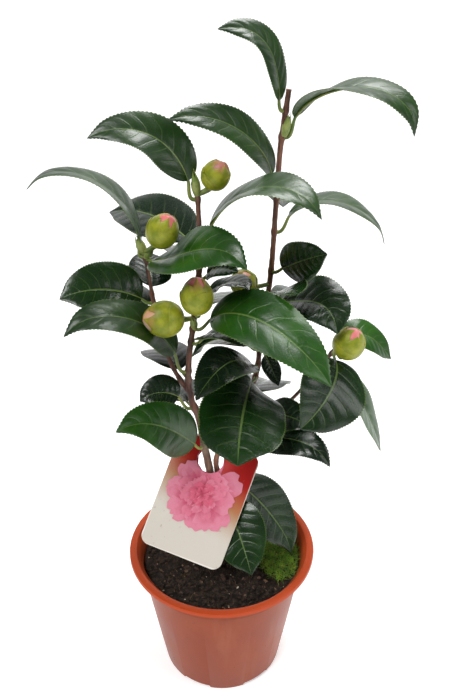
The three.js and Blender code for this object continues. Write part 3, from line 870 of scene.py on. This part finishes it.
def build_leaf(node, sizes, finishes, seed):
    centres, normals, halves, foot = read_leaf(node)
    draw = random.Random(seed)
    piece = new_primitive(node + "_blade", bpy.ops.mesh.primitive_grid_add,
                          x_subdivisions=BLADE_COLUMNS, y_subdivisions=BLADE_ROWS, size=2)
    flat = get_points(piece)
    across, along = flat[:, 0], (flat[:, 1] + 1) / 2
    length = np.linalg.norm(np.diff(centres, axis=0), axis=1).sum()
    middle, normal, side = blade_frame(centres, normals, along)
    fullness = halves[1:] / blade_shape(STATIONS[1:-1])
    width = np.interp(along, STATIONS[1:-1], fullness) * blade_shape(along)
    width = np.maximum(width, halves[0] * (1 - ease(along, 0.9, 1.0)))
    width *= 1 - 0.22 * ease(along, 0.84, 0.97)
    rows = np.round(along * BLADE_ROWS)
    teeth = np.where(rows % 2 == 0, 1.0, -0.6) * sizes.tooth * ease(along, 0.12, 0.25)
    edge = np.abs(across) ** 8
    reach = across * width + np.sign(across) * edge * teeth * (1 - ease(along, 0.95, 1.0))
    out = np.abs(across)
    lift = sizes.fold * width * (1.08 * out - 0.48 * out ** 2)
    order = vein_order(across, along, sizes.vein_pairs)
    quilt = np.cos(2 * math.pi * order) * ease(out, 0.02, 0.2) * (1 - ease(out, 0.7, 1.0))
    quilt *= ease(along, 0.05, 0.2) * (1 - ease(along, 0.8, 0.95))
    groove = np.exp(-(across * width / (1.1 * MM)) ** 2) * (1 - along)
    wave_turn = draw.uniform(0, START_TURNS)
    waves = draw.uniform(1.3, 2.2)
    wave = np.sin(2 * math.pi * waves * along + wave_turn + 1.4 * (across > 0)) * out ** 2.2
    wave *= 0.045 * width * draw.uniform(0.6, 1.5)
    curl = -0.5 * MM * out ** 6
    height = lift + quilt * sizes.quilting - groove * 0.55 * MM + wave + curl
    set_points(piece, middle + side * reach[:, None] + normal * height[:, None])
    merge_close(piece, 0.01 * MM)
    apply_modifier(piece, "SOLIDIFY", thickness=sizes.thickness, offset=-1, material_offset=1)
    for finish in finishes:
        piece.data.materials.append(finish)
    stalk = build_stalk(node, centres, normals, foot, length)
    stalk.data.materials.clear()
    for finish in finishes:
        stalk.data.materials.append(finish)
    for polygon in stalk.data.polygons:
        polygon.material_index = 2
    piece = join_pieces([piece, stalk], node + "_blade")
    finish_piece(piece, [node], smooth=60)


def build_stalk(node, centres, normals, foot, length):
    """The leaf stalk, from inside the stem, and the rib that it becomes under the blade."""
    home = nearest_on_stems(foot)
    places = np.linspace(0.0, 0.86, 22)
    middle, normal, _ = blade_frame(centres, normals, places)
    rib_radii = np.linspace(0.95, 0.22, 22) * MM
    under = middle - normal * (rib_radii[:, None] + 0.3 * MM)
    inner = foot + (home - foot) * 0.62
    joint = foot + (centres[0] - foot) * 0.02
    first = np.linalg.norm(joint - inner)
    whole = first + np.linalg.norm(under[0] - joint)
    path = smooth_through([0, first, whole, whole + 0.05 * length],
                          np.array([inner, joint, under[0], under[1]]), np.linspace(0, whole, 16)[:-1])
    path = np.vstack([path, under])
    stalk_radii = np.linspace(1.35, 1.0, 15) * MM
    return make_tube(node + "_stalk", path, np.concatenate([stalk_radii, rib_radii]), roundness=2)


YOUNG_LEAVES = ("leaf_top", "leaf_top_right", "leaf_high_left", "leaf_upper_left", "leaf_far_left",
                "leaf_arching", "leaf_right_arching", "leaf_low_left")
# The front and outer leaves get a brighter green, and the leaves behind, low down and curled get a darker
# one. This is partly the leaves' own tones and partly painted light on the front leaves and painted shade on
# the ones behind.
BRIGHT_AND_LIT_LEAVES = ("leaf_big_front", "leaf_centre_front", "leaf_label_left", "leaf_right_tip",
                 "leaf_right_edge")
DARK_AND_SHADED_LEAVES = ("leaf_centre_dark", "leaf_centre_curled", "leaf_low_right", "leaf_behind_left",
               "leaf_small_left", "leaf_left_behind", "leaf_left_back", "leaf_bud_low", "leaf_stem_small",
               "leaf_branch_small")


def build_leaves(sizes):
    pairs = sizes.vein_pairs
    stalk = petiole_finish()
    back = leaf_back_finish("leaf_underside", (0.045, 0.062, 0.018), (0.085, 0.105, 0.036), pairs)
    rib = (0.12, 0.19, 0.045)
    # The bright and dark tints are lit and shaded copies of one leaf finish: part painted light and shade,
    # part the leaves' own tones.
    tints = {
        "young": leaf_finish("leaf_young", (0.006, 0.026, 0.003), (0.016, 0.050, 0.006), rib, pairs, 0.30),
        "bright": leaf_finish("leaf_bright_painted_light", (0.007, 0.044, 0.002), (0.020, 0.086, 0.005), rib, pairs, 0.28),
        "dark": leaf_finish("leaf_dark_painted_shade", (0.002, 0.009, 0.003), (0.006, 0.020, 0.006), rib, pairs, 0.24),
        "deep": leaf_finish("leaf_deep", (0.003, 0.017, 0.002), (0.008, 0.034, 0.004), rib, pairs, 0.22),
    }
    for index, node in enumerate(LEAVES):
        kind = ("young" if node in YOUNG_LEAVES else "bright" if node in BRIGHT_AND_LIT_LEAVES
                else "dark" if node in DARK_AND_SHADED_LEAVES else "deep")
        build_leaf(node, sizes, (tints[kind], back, stalk), 100 + index)


# ---------------------------------------------------------------- buds

def bud_axis(node):
    """Centre, pointing direction, length and width of a bud solid."""
    points = merged_solid(node)[0]
    centre = (points.max(axis=0) + points.min(axis=0)) / 2
    spread = points - points.mean(axis=0)
    axes = np.linalg.eigh(spread.T @ spread)[1]
    axis = axes[:, -1]
    heights = spread @ axis
    out = np.linalg.norm(spread - np.outer(heights, axis), axis=1)
    if heights[np.argmax(out)] > (heights.max() + heights.min()) / 2:
        axis = -axis
    heights = (points - centre) @ axis
    centre = centre + axis * (heights.max() + heights.min()) / 2
    return centre, axis, heights.max() - heights.min(), 2 * out.max()


def egg_radius(part):
    """Half width of a bud along its axis, 0 at the stalk and 1 at the tip."""
    return 2.14 * np.sqrt(np.maximum(part, 0)) * np.maximum(1 - part, 0) ** 0.64


def bud_scale(name, frame_of_bud, length, width, turn, foot, top, half_angle, stand_off):
    """One rounded scale that hugs the bud from foot to top."""
    centre, axis, first, second = frame_of_bud
    piece = new_primitive(name, bpy.ops.mesh.primitive_grid_add, x_subdivisions=12, y_subdivisions=16, size=2)
    flat = get_points(piece)
    across, along = flat[:, 0], (flat[:, 1] + 1) / 2
    rounding = np.sqrt(np.maximum(1 - np.maximum(along - 0.45, 0) ** 2 / 0.3030, 0))
    opening = half_angle * (0.75 + 0.25 * np.sin(np.pi * along)) * rounding
    angle = turn + across * opening
    part = foot + (top - foot) * (along + 0.02 * np.cos(angle * 3))
    notch = 1 - 0.05 * (1 - np.abs(across)) * ease(along, 0.85, 1.0)
    part = foot + (part - foot) * notch
    radius = egg_radius(part) * width / 2 + stand_off * (0.55 + 0.45 * ease(along, 0.5, 1.0))
    radius += 0.25 * MM * ease(along, 0.88, 1.0) - 0.35 * MM * np.abs(across) ** 6
    direction = np.outer(np.cos(angle), first) + np.outer(np.sin(angle), second)
    points = centre + np.outer((part - 0.5) * length, axis) + direction * radius[:, None]
    set_points(piece, points)
    layer = piece.data.uv_layers[0].data
    spots = np.empty(len(layer) * 2)
    layer.foreach_get("uv", spots)
    spots[1::2] *= top
    layer.foreach_set("uv", spots)
    merge_close(piece, 0.02 * MM)
    apply_modifier(piece, "SOLIDIFY", thickness=0.45 * MM, offset=-1)
    return piece


def scale_finish(sizes):
    f = Finish("bud_scale")
    along = f.add("ShaderNodeSeparateXYZ", Vector=f.add("ShaderNodeUVMap").outputs[0])
    streak = f.grain(160.0, 4.0)
    green = tuple(sizes.green)
    colour = f.blend(f.fade(streak, 0.3, 0.72), green, (0.33, 0.34, 0.022))
    blush = f.math("MULTIPLY", f.fade(along.outputs[1], 0.74, 1.0), f.fade(f.grain(70.0, 2.0), 0.44, 0.62))
    colour = f.blend(f.math("MULTIPLY", blush, 0.8), colour, (0.56, 0.20, 0.11))
    across = f.math("ABSOLUTE", f.math("MULTIPLY_ADD", along.outputs[0], 2.0, -1.0))
    rim = f.fade(across, 0.88, 1.0)
    colour = f.blend(f.math("MULTIPLY", rim, 0.45), colour, (0.30, 0.17, 0.06))
    lines = f.add("ShaderNodeTexWave", {"bands_direction": "X"}, Scale=14.0, Distortion=2.0,
                  Vector=f.add("ShaderNodeUVMap").outputs[0]).outputs[1]
    return f.done(Base_Color=colour, Roughness=0.38, Specular_IOR_Level=0.35,
                  Normal=f.bump(lines, 0.15, 0.0003))


def petal_finish(name, petal, pale):
    f = Finish(name)
    colour = f.blend(f.fade(f.grain(120.0, 4.0), 0.35, 0.7), petal, pale)
    return f.done(Base_Color=colour, Roughness=0.5, Sheen_Weight=0.3,
                  Normal=f.bump(f.grain(400.0), 0.2, 0.0003))


def frame_round(centre, axis):
    first = unit(np.cross(axis, (0.31, 0.87, 0.12)))
    return centre, axis, first, np.cross(axis, first)


PINK_BUDS = {"bud_middle_top": (0.42, 0.10, 0.06), "bud_behind": (0.62, 0.25, 0.15),
             "bud_left_low": (0.66, 0.34, 0.18)}


def build_bud(node, sizes, scale_tint, seed):
    centre, axis, length, width = bud_axis(node)
    draw = random.Random(seed)
    round_bud = frame_round(centre, axis)
    core = new_primitive(node + "_core", bpy.ops.mesh.primitive_uv_sphere_add, segments=32,
                         ring_count=24, radius=1)
    ball = get_points(core)
    part = (ball[:, 2] + 1) / 2
    turn = np.arctan2(ball[:, 1], ball[:, 0])
    folds = 1 + 0.05 * np.sin(turn * 3 + 9 * part) * ease(part, 0.6, 0.95)
    radius = egg_radius(part) * width / 2 * 0.97 * folds
    direction = np.outer(np.cos(turn), round_bud[2]) + np.outer(np.sin(turn), round_bud[3])
    set_points(core, centre + np.outer((part - 0.5) * length * 0.985, axis) + direction * radius[:, None])
    petal = PINK_BUDS.get(node, tuple(sizes.petal))
    pale = tuple(0.8 * value + 0.1 for value in petal)
    core.data.materials.append(petal_finish(node + "_petal", petal, pale))
    finish_piece(core)
    scales = []
    start = draw.uniform(0, START_TURNS)
    for index in range(sizes.scales):
        rank = index / (sizes.scales - 1)
        top = min(0.99, 0.56 + 0.50 * rank ** 0.5)
        scales.append(bud_scale(f"{node}_scale_{index}", round_bud, length, width,
                                start + index * GOLDEN_TURN, 0.012 + 0.02 * rank, top,
                                math.radians(88 - 18 * rank), (0.9 - 0.75 * rank) * MM))
    piece = join_pieces(scales, node + "_scales")
    piece.data.materials.clear()
    piece.data.materials.append(scale_tint)
    finish_piece(piece, [node], smooth=50)
    foot = centre - axis * length * 0.47
    home = nearest_on_stems(foot)
    bend = foot - axis * min(3 * MM, np.linalg.norm(foot - home) * 0.5)
    path = smooth_through([0, 0.5, 1], np.array([home, bend, foot + axis * 1.5 * MM]), np.linspace(0, 1, 14))
    stalk = make_tube(node + "_stalk", path, np.linspace(1.5, 2.4, 14) * MM, roundness=3)
    stalk.data.materials.clear()
    stalk.data.materials.append(bpy.data.materials["leaf_stalk"])
    finish_piece(stalk)


def build_shoot_bud(name, base, tip, width, tint):
    """A slim pointed leaf bud made of five wrapped scales."""
    base, tip = np.array(base), np.array(tip)
    axis, length = unit(tip - base), np.linalg.norm(tip - base)
    round_bud = frame_round(base, axis)
    scales = []
    for index, top in enumerate((0.52, 0.68, 0.82, 0.93, 1.0)):
        piece = new_primitive(f"{name}_{index}", bpy.ops.mesh.primitive_grid_add, x_subdivisions=10,
                              y_subdivisions=14, size=2)
        flat = get_points(piece)
        across, along = flat[:, 0], (flat[:, 1] + 1) / 2
        part = along * top
        wrap = math.radians(125) * (1 - along ** 2.4)
        angle = index * GOLDEN_TURN + across * wrap
        radius = width / 2 * (0.55 + 1.9 * part * (1 - part) ** 0.9) * (1 - part ** 3) * (1.12 - 0.05 * index)
        direction = np.outer(np.cos(angle), round_bud[2]) + np.outer(np.sin(angle), round_bud[3])
        set_points(piece, base + np.outer(part * length, axis) + direction * radius[:, None])
        merge_close(piece, 0.02 * MM)
        apply_modifier(piece, "SOLIDIFY", thickness=0.25 * MM, offset=-1)
        scales.append(piece)
    piece = join_pieces(scales, name)
    piece.data.materials.clear()
    piece.data.materials.append(tint)
    finish_piece(piece, smooth=50)


def stem_end(name, distance):
    """A place on a stem's centre line, a little below its top."""
    centres = STEM_LINES[name][0]
    return centres[-1] - unit(centres[-1] - centres[-2]) * distance


def build_buds(sizes):
    tint = scale_finish(sizes)
    for index, node in enumerate(BUDS):
        build_bud(node, sizes, tint, 300 + index)
    f = Finish("shoot_scale")
    colour = f.blend(f.fade(f.grain(140.0, 3.0), 0.35, 0.7), (0.16, 0.23, 0.045), (0.34, 0.38, 0.11))
    green = f.done(Base_Color=colour, Roughness=0.45, Normal=f.bump(f.grain(600.0), 0.2, 0.0003))
    end = stem_end("middle_stem", 1 * MM)
    build_shoot_bud("shoot_bud_middle", end, end + (-0.002, -0.001, 0.017), 5.5 * MM, green)
    end = stem_end("left_stem", 1 * MM)
    build_shoot_bud("shoot_bud_left", end, end + (-0.0055, -0.002, 0.014), 6 * MM, green)
    build_shoot_bud("shoot_bud_left_side", end + (0, 0, -0.003), end + (0.007, -0.005, 0.007), 5 * MM, green)
    high = leaf_base("leaf_top_right")
    build_shoot_bud("shoot_bud_right", high + (-0.0015, -0.001, 0.001), high + (0.002, -0.002, 0.016),
                    5.5 * MM, green)
    low = leaf_base("leaf_big_front")
    build_shoot_bud("shoot_bud_low", low + (-0.001, 0, 0.001), low + (-0.002, -0.004, 0.012), 5 * MM, green)


# ---------------------------------------------------------------- care label

def label_axes():
    """Lower left corner, rightwards, upwards and outwards directions, and size of the care label."""
    points = merged_solid("label")[0]
    middle = points.mean(axis=0)
    axes = np.linalg.eigh((points - middle).T @ (points - middle))[1]
    up = axes[:, 2] * np.sign(axes[2, 2])
    out = axes[:, 0] * -np.sign(axes[1, 0])
    right = np.cross(up, out)
    centred = points - middle
    low = np.array([(centred @ right).min(), (centred @ up).min()])
    high = np.array([(centred @ right).max(), (centred @ up).max()])
    corner = middle + right * low[0] + up * low[1]
    corner = corner + out * (centred @ out).max()
    return corner, right, up, out, high - low


def build_label(sizes):
    corner, right, up, out, span = label_axes()
    mesh = bpy.data.meshes.new("label_card")
    source = bmesh.new()
    source.from_mesh(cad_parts["label"].data)
    bmesh.ops.remove_doubles(source, verts=source.verts, dist=1e-6)
    bmesh.ops.dissolve_limit(source, angle_limit=math.radians(1), verts=source.verts, edges=source.edges)
    bmesh.ops.recalc_face_normals(source, faces=source.faces)
    source.to_mesh(mesh)
    source.free()
    card = bpy.data.objects.new("label_card", mesh)
    bpy.context.collection.objects.link(card)
    apply_modifier(card, "BEVEL", width=0.14 * MM, segments=2, limit_method="ANGLE")
    layer = card.data.uv_layers.new(name="UVMap")
    for loop in card.data.loops:
        offset = np.array(card.data.vertices[loop.vertex_index].co) - corner
        layer.data[loop.index].uv = (offset @ right / span[0], offset @ up / span[1])
    card.data.materials.append(card_finish(sizes))
    finish_piece(card, ["label"], smooth=30)
    build_printed_flower(sizes, corner, right, up, out, span)


def card_finish(sizes):
    f = Finish("printed_card")
    spot = f.add("ShaderNodeSeparateXYZ", Vector=f.add("ShaderNodeUVMap").outputs[0])
    cloud = f.math("MULTIPLY_ADD", f.grain(38.0, 3.0), 0.16, -0.08)
    level = f.math("ADD", spot.outputs[1], cloud)
    level = f.math("MULTIPLY_ADD", spot.outputs[0], 0.17, level)
    colour = f.blend(f.fade(level, 0.36, 0.68), tuple(sizes.cream), (0.42, 0.20, 0.09))
    colour = f.blend(f.fade(level, 0.58, 0.90), colour, tuple(sizes.red))
    sides = f.math("MAXIMUM", f.math("ABSOLUTE", f.math("MULTIPLY_ADD", spot.outputs[0], 2.0, -1.0)),
                   f.math("ABSOLUTE", f.math("MULTIPLY_ADD", spot.outputs[1], 2.0, -1.0)))
    colour = f.blend(f.math("MULTIPLY", f.fade(sides, 0.965, 0.98), 0.8), colour, (0.84, 0.79, 0.72))
    dust = f.math("MULTIPLY", f.fade(f.grain(420.0, 4.0), 0.66, 0.72), 0.5)
    colour = f.blend(dust, colour, (0.28, 0.2, 0.13))
    return f.done(Base_Color=colour, Roughness=0.32, Specular_IOR_Level=0.25,
                  Normal=f.bump(f.grain(60.0, 2.0), 0.08, 0.0005))


def printed_petal(name, middle, turn, tilt, length, width, level, draw):
    """Points of one petal on the card: rightwards, upwards and outwards from the flower's centre."""
    petal = new_primitive(name, bpy.ops.mesh.primitive_grid_add, x_subdivisions=8, y_subdivisions=8, size=2)
    flat = get_points(petal)
    across, along = flat[:, 0], flat[:, 1]
    rounding = np.sqrt(np.maximum(1 - 0.8 * np.maximum(along, 0) ** 4 - 0.5 * np.maximum(-along, 0) ** 2, 0))
    ruffle = 1 + 0.10 * np.sin(across * draw.uniform(3, 7) + draw.uniform(0, START_TURNS))
    x, y = across * width / 2 * rounding, (along + 0.25) * length / 2 * ruffle
    fold = np.sin(across * draw.uniform(2, 5) + draw.uniform(0, START_TURNS)) * 0.16 * MM
    fold = fold + 0.22 * MM * (along + 1)
    east = middle * math.sin(turn) + x * math.cos(tilt) + y * math.sin(tilt)
    north = middle * math.cos(turn) - x * math.sin(tilt) + y * math.cos(tilt)
    return petal, east, north, level + 0.1 * MM + np.maximum(fold, -0.05 * MM)


def petal_print(name, deep, pale):
    f = Finish(name)
    spot = f.add("ShaderNodeSeparateXYZ", Vector=f.add("ShaderNodeUVMap").outputs[0])
    shade = f.math("ADD", spot.outputs[1], f.math("MULTIPLY_ADD", f.grain(260.0, 3.0), 0.6, -0.3))
    colour = f.blend(f.fade(shade, 0.05, 0.9), deep, pale)
    lines = f.add("ShaderNodeTexWave", {"bands_direction": "X"}, Scale=7.0, Distortion=4.0,
                  Vector=f.add("ShaderNodeUVMap").outputs[0]).outputs[1]
    return f.done(Base_Color=f.blend(f.math("MULTIPLY", lines, 0.22), colour, deep), Roughness=0.45)


def clear_hole(petal, hole, out):
    """Take away the parts of a petal that would cover the hole in the card."""
    mesh = bmesh.new()
    mesh.from_mesh(petal.data)
    covering = []
    for face in mesh.faces:
        offset = np.array(face.calc_center_median()) - hole
        if np.linalg.norm(offset - out * np.dot(offset, out)) < HOLE_REACH:
            covering.append(face)
    bmesh.ops.delete(mesh, geom=covering, context="FACES")
    mesh.to_mesh(petal.data)
    mesh.free()


def build_printed_flower(sizes, corner, right, up, out, span):
    """A picture of a full double flower, as thin petals laid on the card."""
    draw = random.Random(64)
    hole = corner + right * (span[0] / 2 - 3 * MM) + up * (span[1] - 15 * MM)
    centre = hole + right * 3 * MM - up * sizes.flower_below_hole
    radius = sizes.flower_radius
    prints = [petal_print("outer_petal", (0.48, 0.045, 0.11), (0.70, 0.23, 0.32)),
              petal_print("middle_petal", (0.40, 0.022, 0.07), (0.68, 0.18, 0.27)),
              petal_print("heart_petal", (0.34, 0.012, 0.045), (0.66, 0.11, 0.19))]
    rings = ((8, 0.56, 0.52, 0.52, 0), (8, 0.46, 0.46, 0.46, 0), (8, 0.33, 0.42, 0.36, 1),
             (22, 0.24, 0.30, 0.22, 1), (18, 0.14, 0.24, 0.17, 2), (10, 0.05, 0.20, 0.14, 2))
    petals, level = [], 0.0
    for ring, (count, middle, length, width, tint) in enumerate(rings):
        for index in range(count):
            turn = 2 * math.pi * (index + draw.uniform(-0.3, 0.3)) / count + ring * 0.9
            tilt = turn + draw.uniform(-1, 1) * (0.15 + 0.22 * ring)
            size = draw.uniform(0.85, 1.2)
            petal, east, north, height = printed_petal(
                f"petal_{ring}_{index}", middle * radius * draw.uniform(0.85, 1.12), turn, tilt,
                length * radius * size, width * radius * size, level, draw)
            points = centre + np.outer(east, right) + np.outer(north, up)
            gap = np.linalg.norm(points - hole, axis=1)
            push = np.maximum(1, (HOLE_REACH + 0.5 * MM) / np.maximum(gap, 1e-9))
            points = hole + (points - hole) * push[:, None]
            set_points(petal, points + np.outer(height, out))
            clear_hole(petal, hole, out)
            petal.data.materials.append(prints[tint])
            petals.append(petal)
            level += 0.006 * MM
    piece = join_pieces(petals, "label_flower")
    apply_modifier(piece, "SOLIDIFY", thickness=0.08 * MM, offset=-1)
    finish_piece(piece, smooth=50)


# ---------------------------------------------------------------- stage

def add_area_light(name, at, target, size, energy):
    lamp = bpy.data.lights.new(name, "AREA")
    lamp.shape = "RECTANGLE"
    lamp.size, lamp.size_y = size
    lamp.energy = energy
    light = bpy.data.objects.new(name, lamp)
    bpy.context.collection.objects.link(light)
    light.location = at
    light.rotation_euler = (Vector(target) - Vector(at)).to_track_quat("-Z", "Y").to_euler()


def add_sun(name, source, target, spread, strength):
    lamp = bpy.data.lights.new(name, "SUN")
    lamp.angle = spread
    lamp.energy = strength
    light = bpy.data.objects.new(name, lamp)
    bpy.context.collection.objects.link(light)
    light.rotation_euler = (Vector(target) - Vector(source)).to_track_quat("-Z", "Y").to_euler()


def build_stage(sizes):
    scene = bpy.context.scene
    floor = new_primitive("backdrop", bpy.ops.mesh.primitive_plane_add, size=8, location=(0, 0, 0))
    f = Finish("pale_paper")
    paper = f.done(Base_Color=tuple(sizes.floor), Roughness=0.9, Emission_Color=(1, 1, 1),
                   Emission_Strength=0.36, Normal=f.bump(f.grain(300.0), 0.02, 0.0002))
    select_only(floor)
    bpy.ops.object.mode_set(mode="EDIT")
    bpy.ops.mesh.select_all(action="DESELECT")
    mesh = bmesh.from_edit_mesh(floor.data)
    for edge in mesh.edges:
        edge.select = all(vertex.co.y > 3.9 for vertex in edge.verts)
    bmesh.update_edit_mesh(floor.data)
    bpy.ops.mesh.extrude_region_move(TRANSFORM_OT_translate={"value": (0, 0, 5)})
    bpy.ops.object.mode_set(mode="OBJECT")
    apply_modifier(floor, "BEVEL", width=1.2, segments=10, limit_method="ANGLE")
    floor.data.materials.append(paper)

    eye = bpy.data.cameras.new("eye")
    eye.lens = sizes.lens
    eye.sensor_width = 36
    camera = bpy.data.objects.new("eye", eye)
    bpy.context.collection.objects.link(camera)
    camera.location = (sizes.eye_offset, -sizes.eye_distance, sizes.eye_height)
    camera.rotation_euler = (math.pi / 2 - sizes.pitch, 0, 0)
    eye.clip_start, eye.clip_end = 0.01, 50
    scene.camera = camera

    target = (0, 0, 0.25)
    add_sun("key", (-0.55, -0.75, 1.5), target, math.radians(24), 2.1)
    add_area_light("over", (0.3, 0.35, 1.4), target, (0.7, 0.5), 15)
    add_area_light("fill", (1.2, -0.6, 0.9), target, (0.6, 0.9), 6)
    world = bpy.data.worlds.new("studio")
    world.use_nodes = True
    world.node_tree.nodes["Background"].inputs[0].default_value = (1, 1, 1, 1)
    world.node_tree.nodes["Background"].inputs[1].default_value = 0.16
    scene.world = world
    scene.view_settings.view_transform = "Standard"


# ---------------------------------------------------------------- operators and panel

class CAMELLIA_OT_pot(bpy.types.Operator):
    """Build the nursery pot with its lip, collar band and drain notches"""
    bl_idname = "camellia.pot"
    bl_label = "Pot"

    def execute(self, context):
        build_pot(context.scene.camellia.pot)
        return {"FINISHED"}


class CAMELLIA_OT_soil(bpy.types.Operator):
    """Build the compost with its crumbs, chips and grit"""
    bl_idname = "camellia.soil"
    bl_label = "Soil"

    def execute(self, context):
        build_soil(context.scene.camellia.soil)
        return {"FINISHED"}


class CAMELLIA_OT_moss(bpy.types.Operator):
    """Build the moss on the compost and the loose fibres"""
    bl_idname = "camellia.moss"
    bl_label = "Moss"

    def execute(self, context):
        build_moss(context.scene.camellia.moss)
        return {"FINISHED"}


class CAMELLIA_OT_stems(bpy.types.Operator):
    """Build the bark of the trunk and the stems"""
    bl_idname = "camellia.stems"
    bl_label = "Stems"

    def execute(self, context):
        build_stems(context.scene.camellia.stems)
        return {"FINISHED"}


class CAMELLIA_OT_leaves(bpy.types.Operator):
    """Build every leaf with its stalk, veins and toothed edge"""
    bl_idname = "camellia.leaves"
    bl_label = "Leaves"

    def execute(self, context):
        build_leaves(context.scene.camellia.leaves)
        return {"FINISHED"}


class CAMELLIA_OT_buds(bpy.types.Operator):
    """Build the flower buds and the pointed leaf buds"""
    bl_idname = "camellia.buds"
    bl_label = "Buds"

    def execute(self, context):
        build_buds(context.scene.camellia.buds)
        return {"FINISHED"}


class CAMELLIA_OT_label(bpy.types.Operator):
    """Build the care label with its printed flower"""
    bl_idname = "camellia.label"
    bl_label = "Care label"

    def execute(self, context):
        build_label(context.scene.camellia.label)
        return {"FINISHED"}


class CAMELLIA_OT_stage(bpy.types.Operator):
    """Set up the backdrop, the camera and the lights"""
    bl_idname = "camellia.stage"
    bl_label = "Stage"

    def execute(self, context):
        build_stage(context.scene.camellia.stage)
        return {"FINISHED"}


class CAMELLIA_PT_panel(bpy.types.Panel):
    """Lists the pieces of the potted camellia"""
    bl_idname = "CAMELLIA_PT_panel"
    bl_label = "Camellia"
    bl_space_type = "VIEW_3D"
    bl_region_type = "UI"
    bl_category = "Camellia"

    def draw(self, context):
        for operator in OPERATORS:
            self.layout.operator(operator.bl_idname)


OPERATORS = (CAMELLIA_OT_stage, CAMELLIA_OT_pot, CAMELLIA_OT_soil, CAMELLIA_OT_moss, CAMELLIA_OT_stems,
             CAMELLIA_OT_leaves, CAMELLIA_OT_buds, CAMELLIA_OT_label)
SETTINGS = (PotSettings, SoilSettings, MossSettings, StemSettings, LeafSettings, BudSettings, LabelSettings,
            StageSettings, CamelliaSettings)


def register():
    for kind in (*SETTINGS, *OPERATORS, CAMELLIA_PT_panel):
        bpy.utils.register_class(kind)
    bpy.types.Scene.camellia = PointerProperty(type=CamelliaSettings)


def unregister():
    del bpy.types.Scene.camellia
    for kind in reversed((*SETTINGS, *OPERATORS, CAMELLIA_PT_panel)):
        bpy.utils.unregister_class(kind)


def main():
    register()
    bpy.ops.camellia.stage()
    bpy.ops.camellia.pot()
    bpy.ops.camellia.soil()
    bpy.ops.camellia.moss()
    bpy.ops.camellia.stems()
    bpy.ops.camellia.leaves()
    bpy.ops.camellia.buds()
    bpy.ops.camellia.label()


if __name__ == "__main__":
    main()
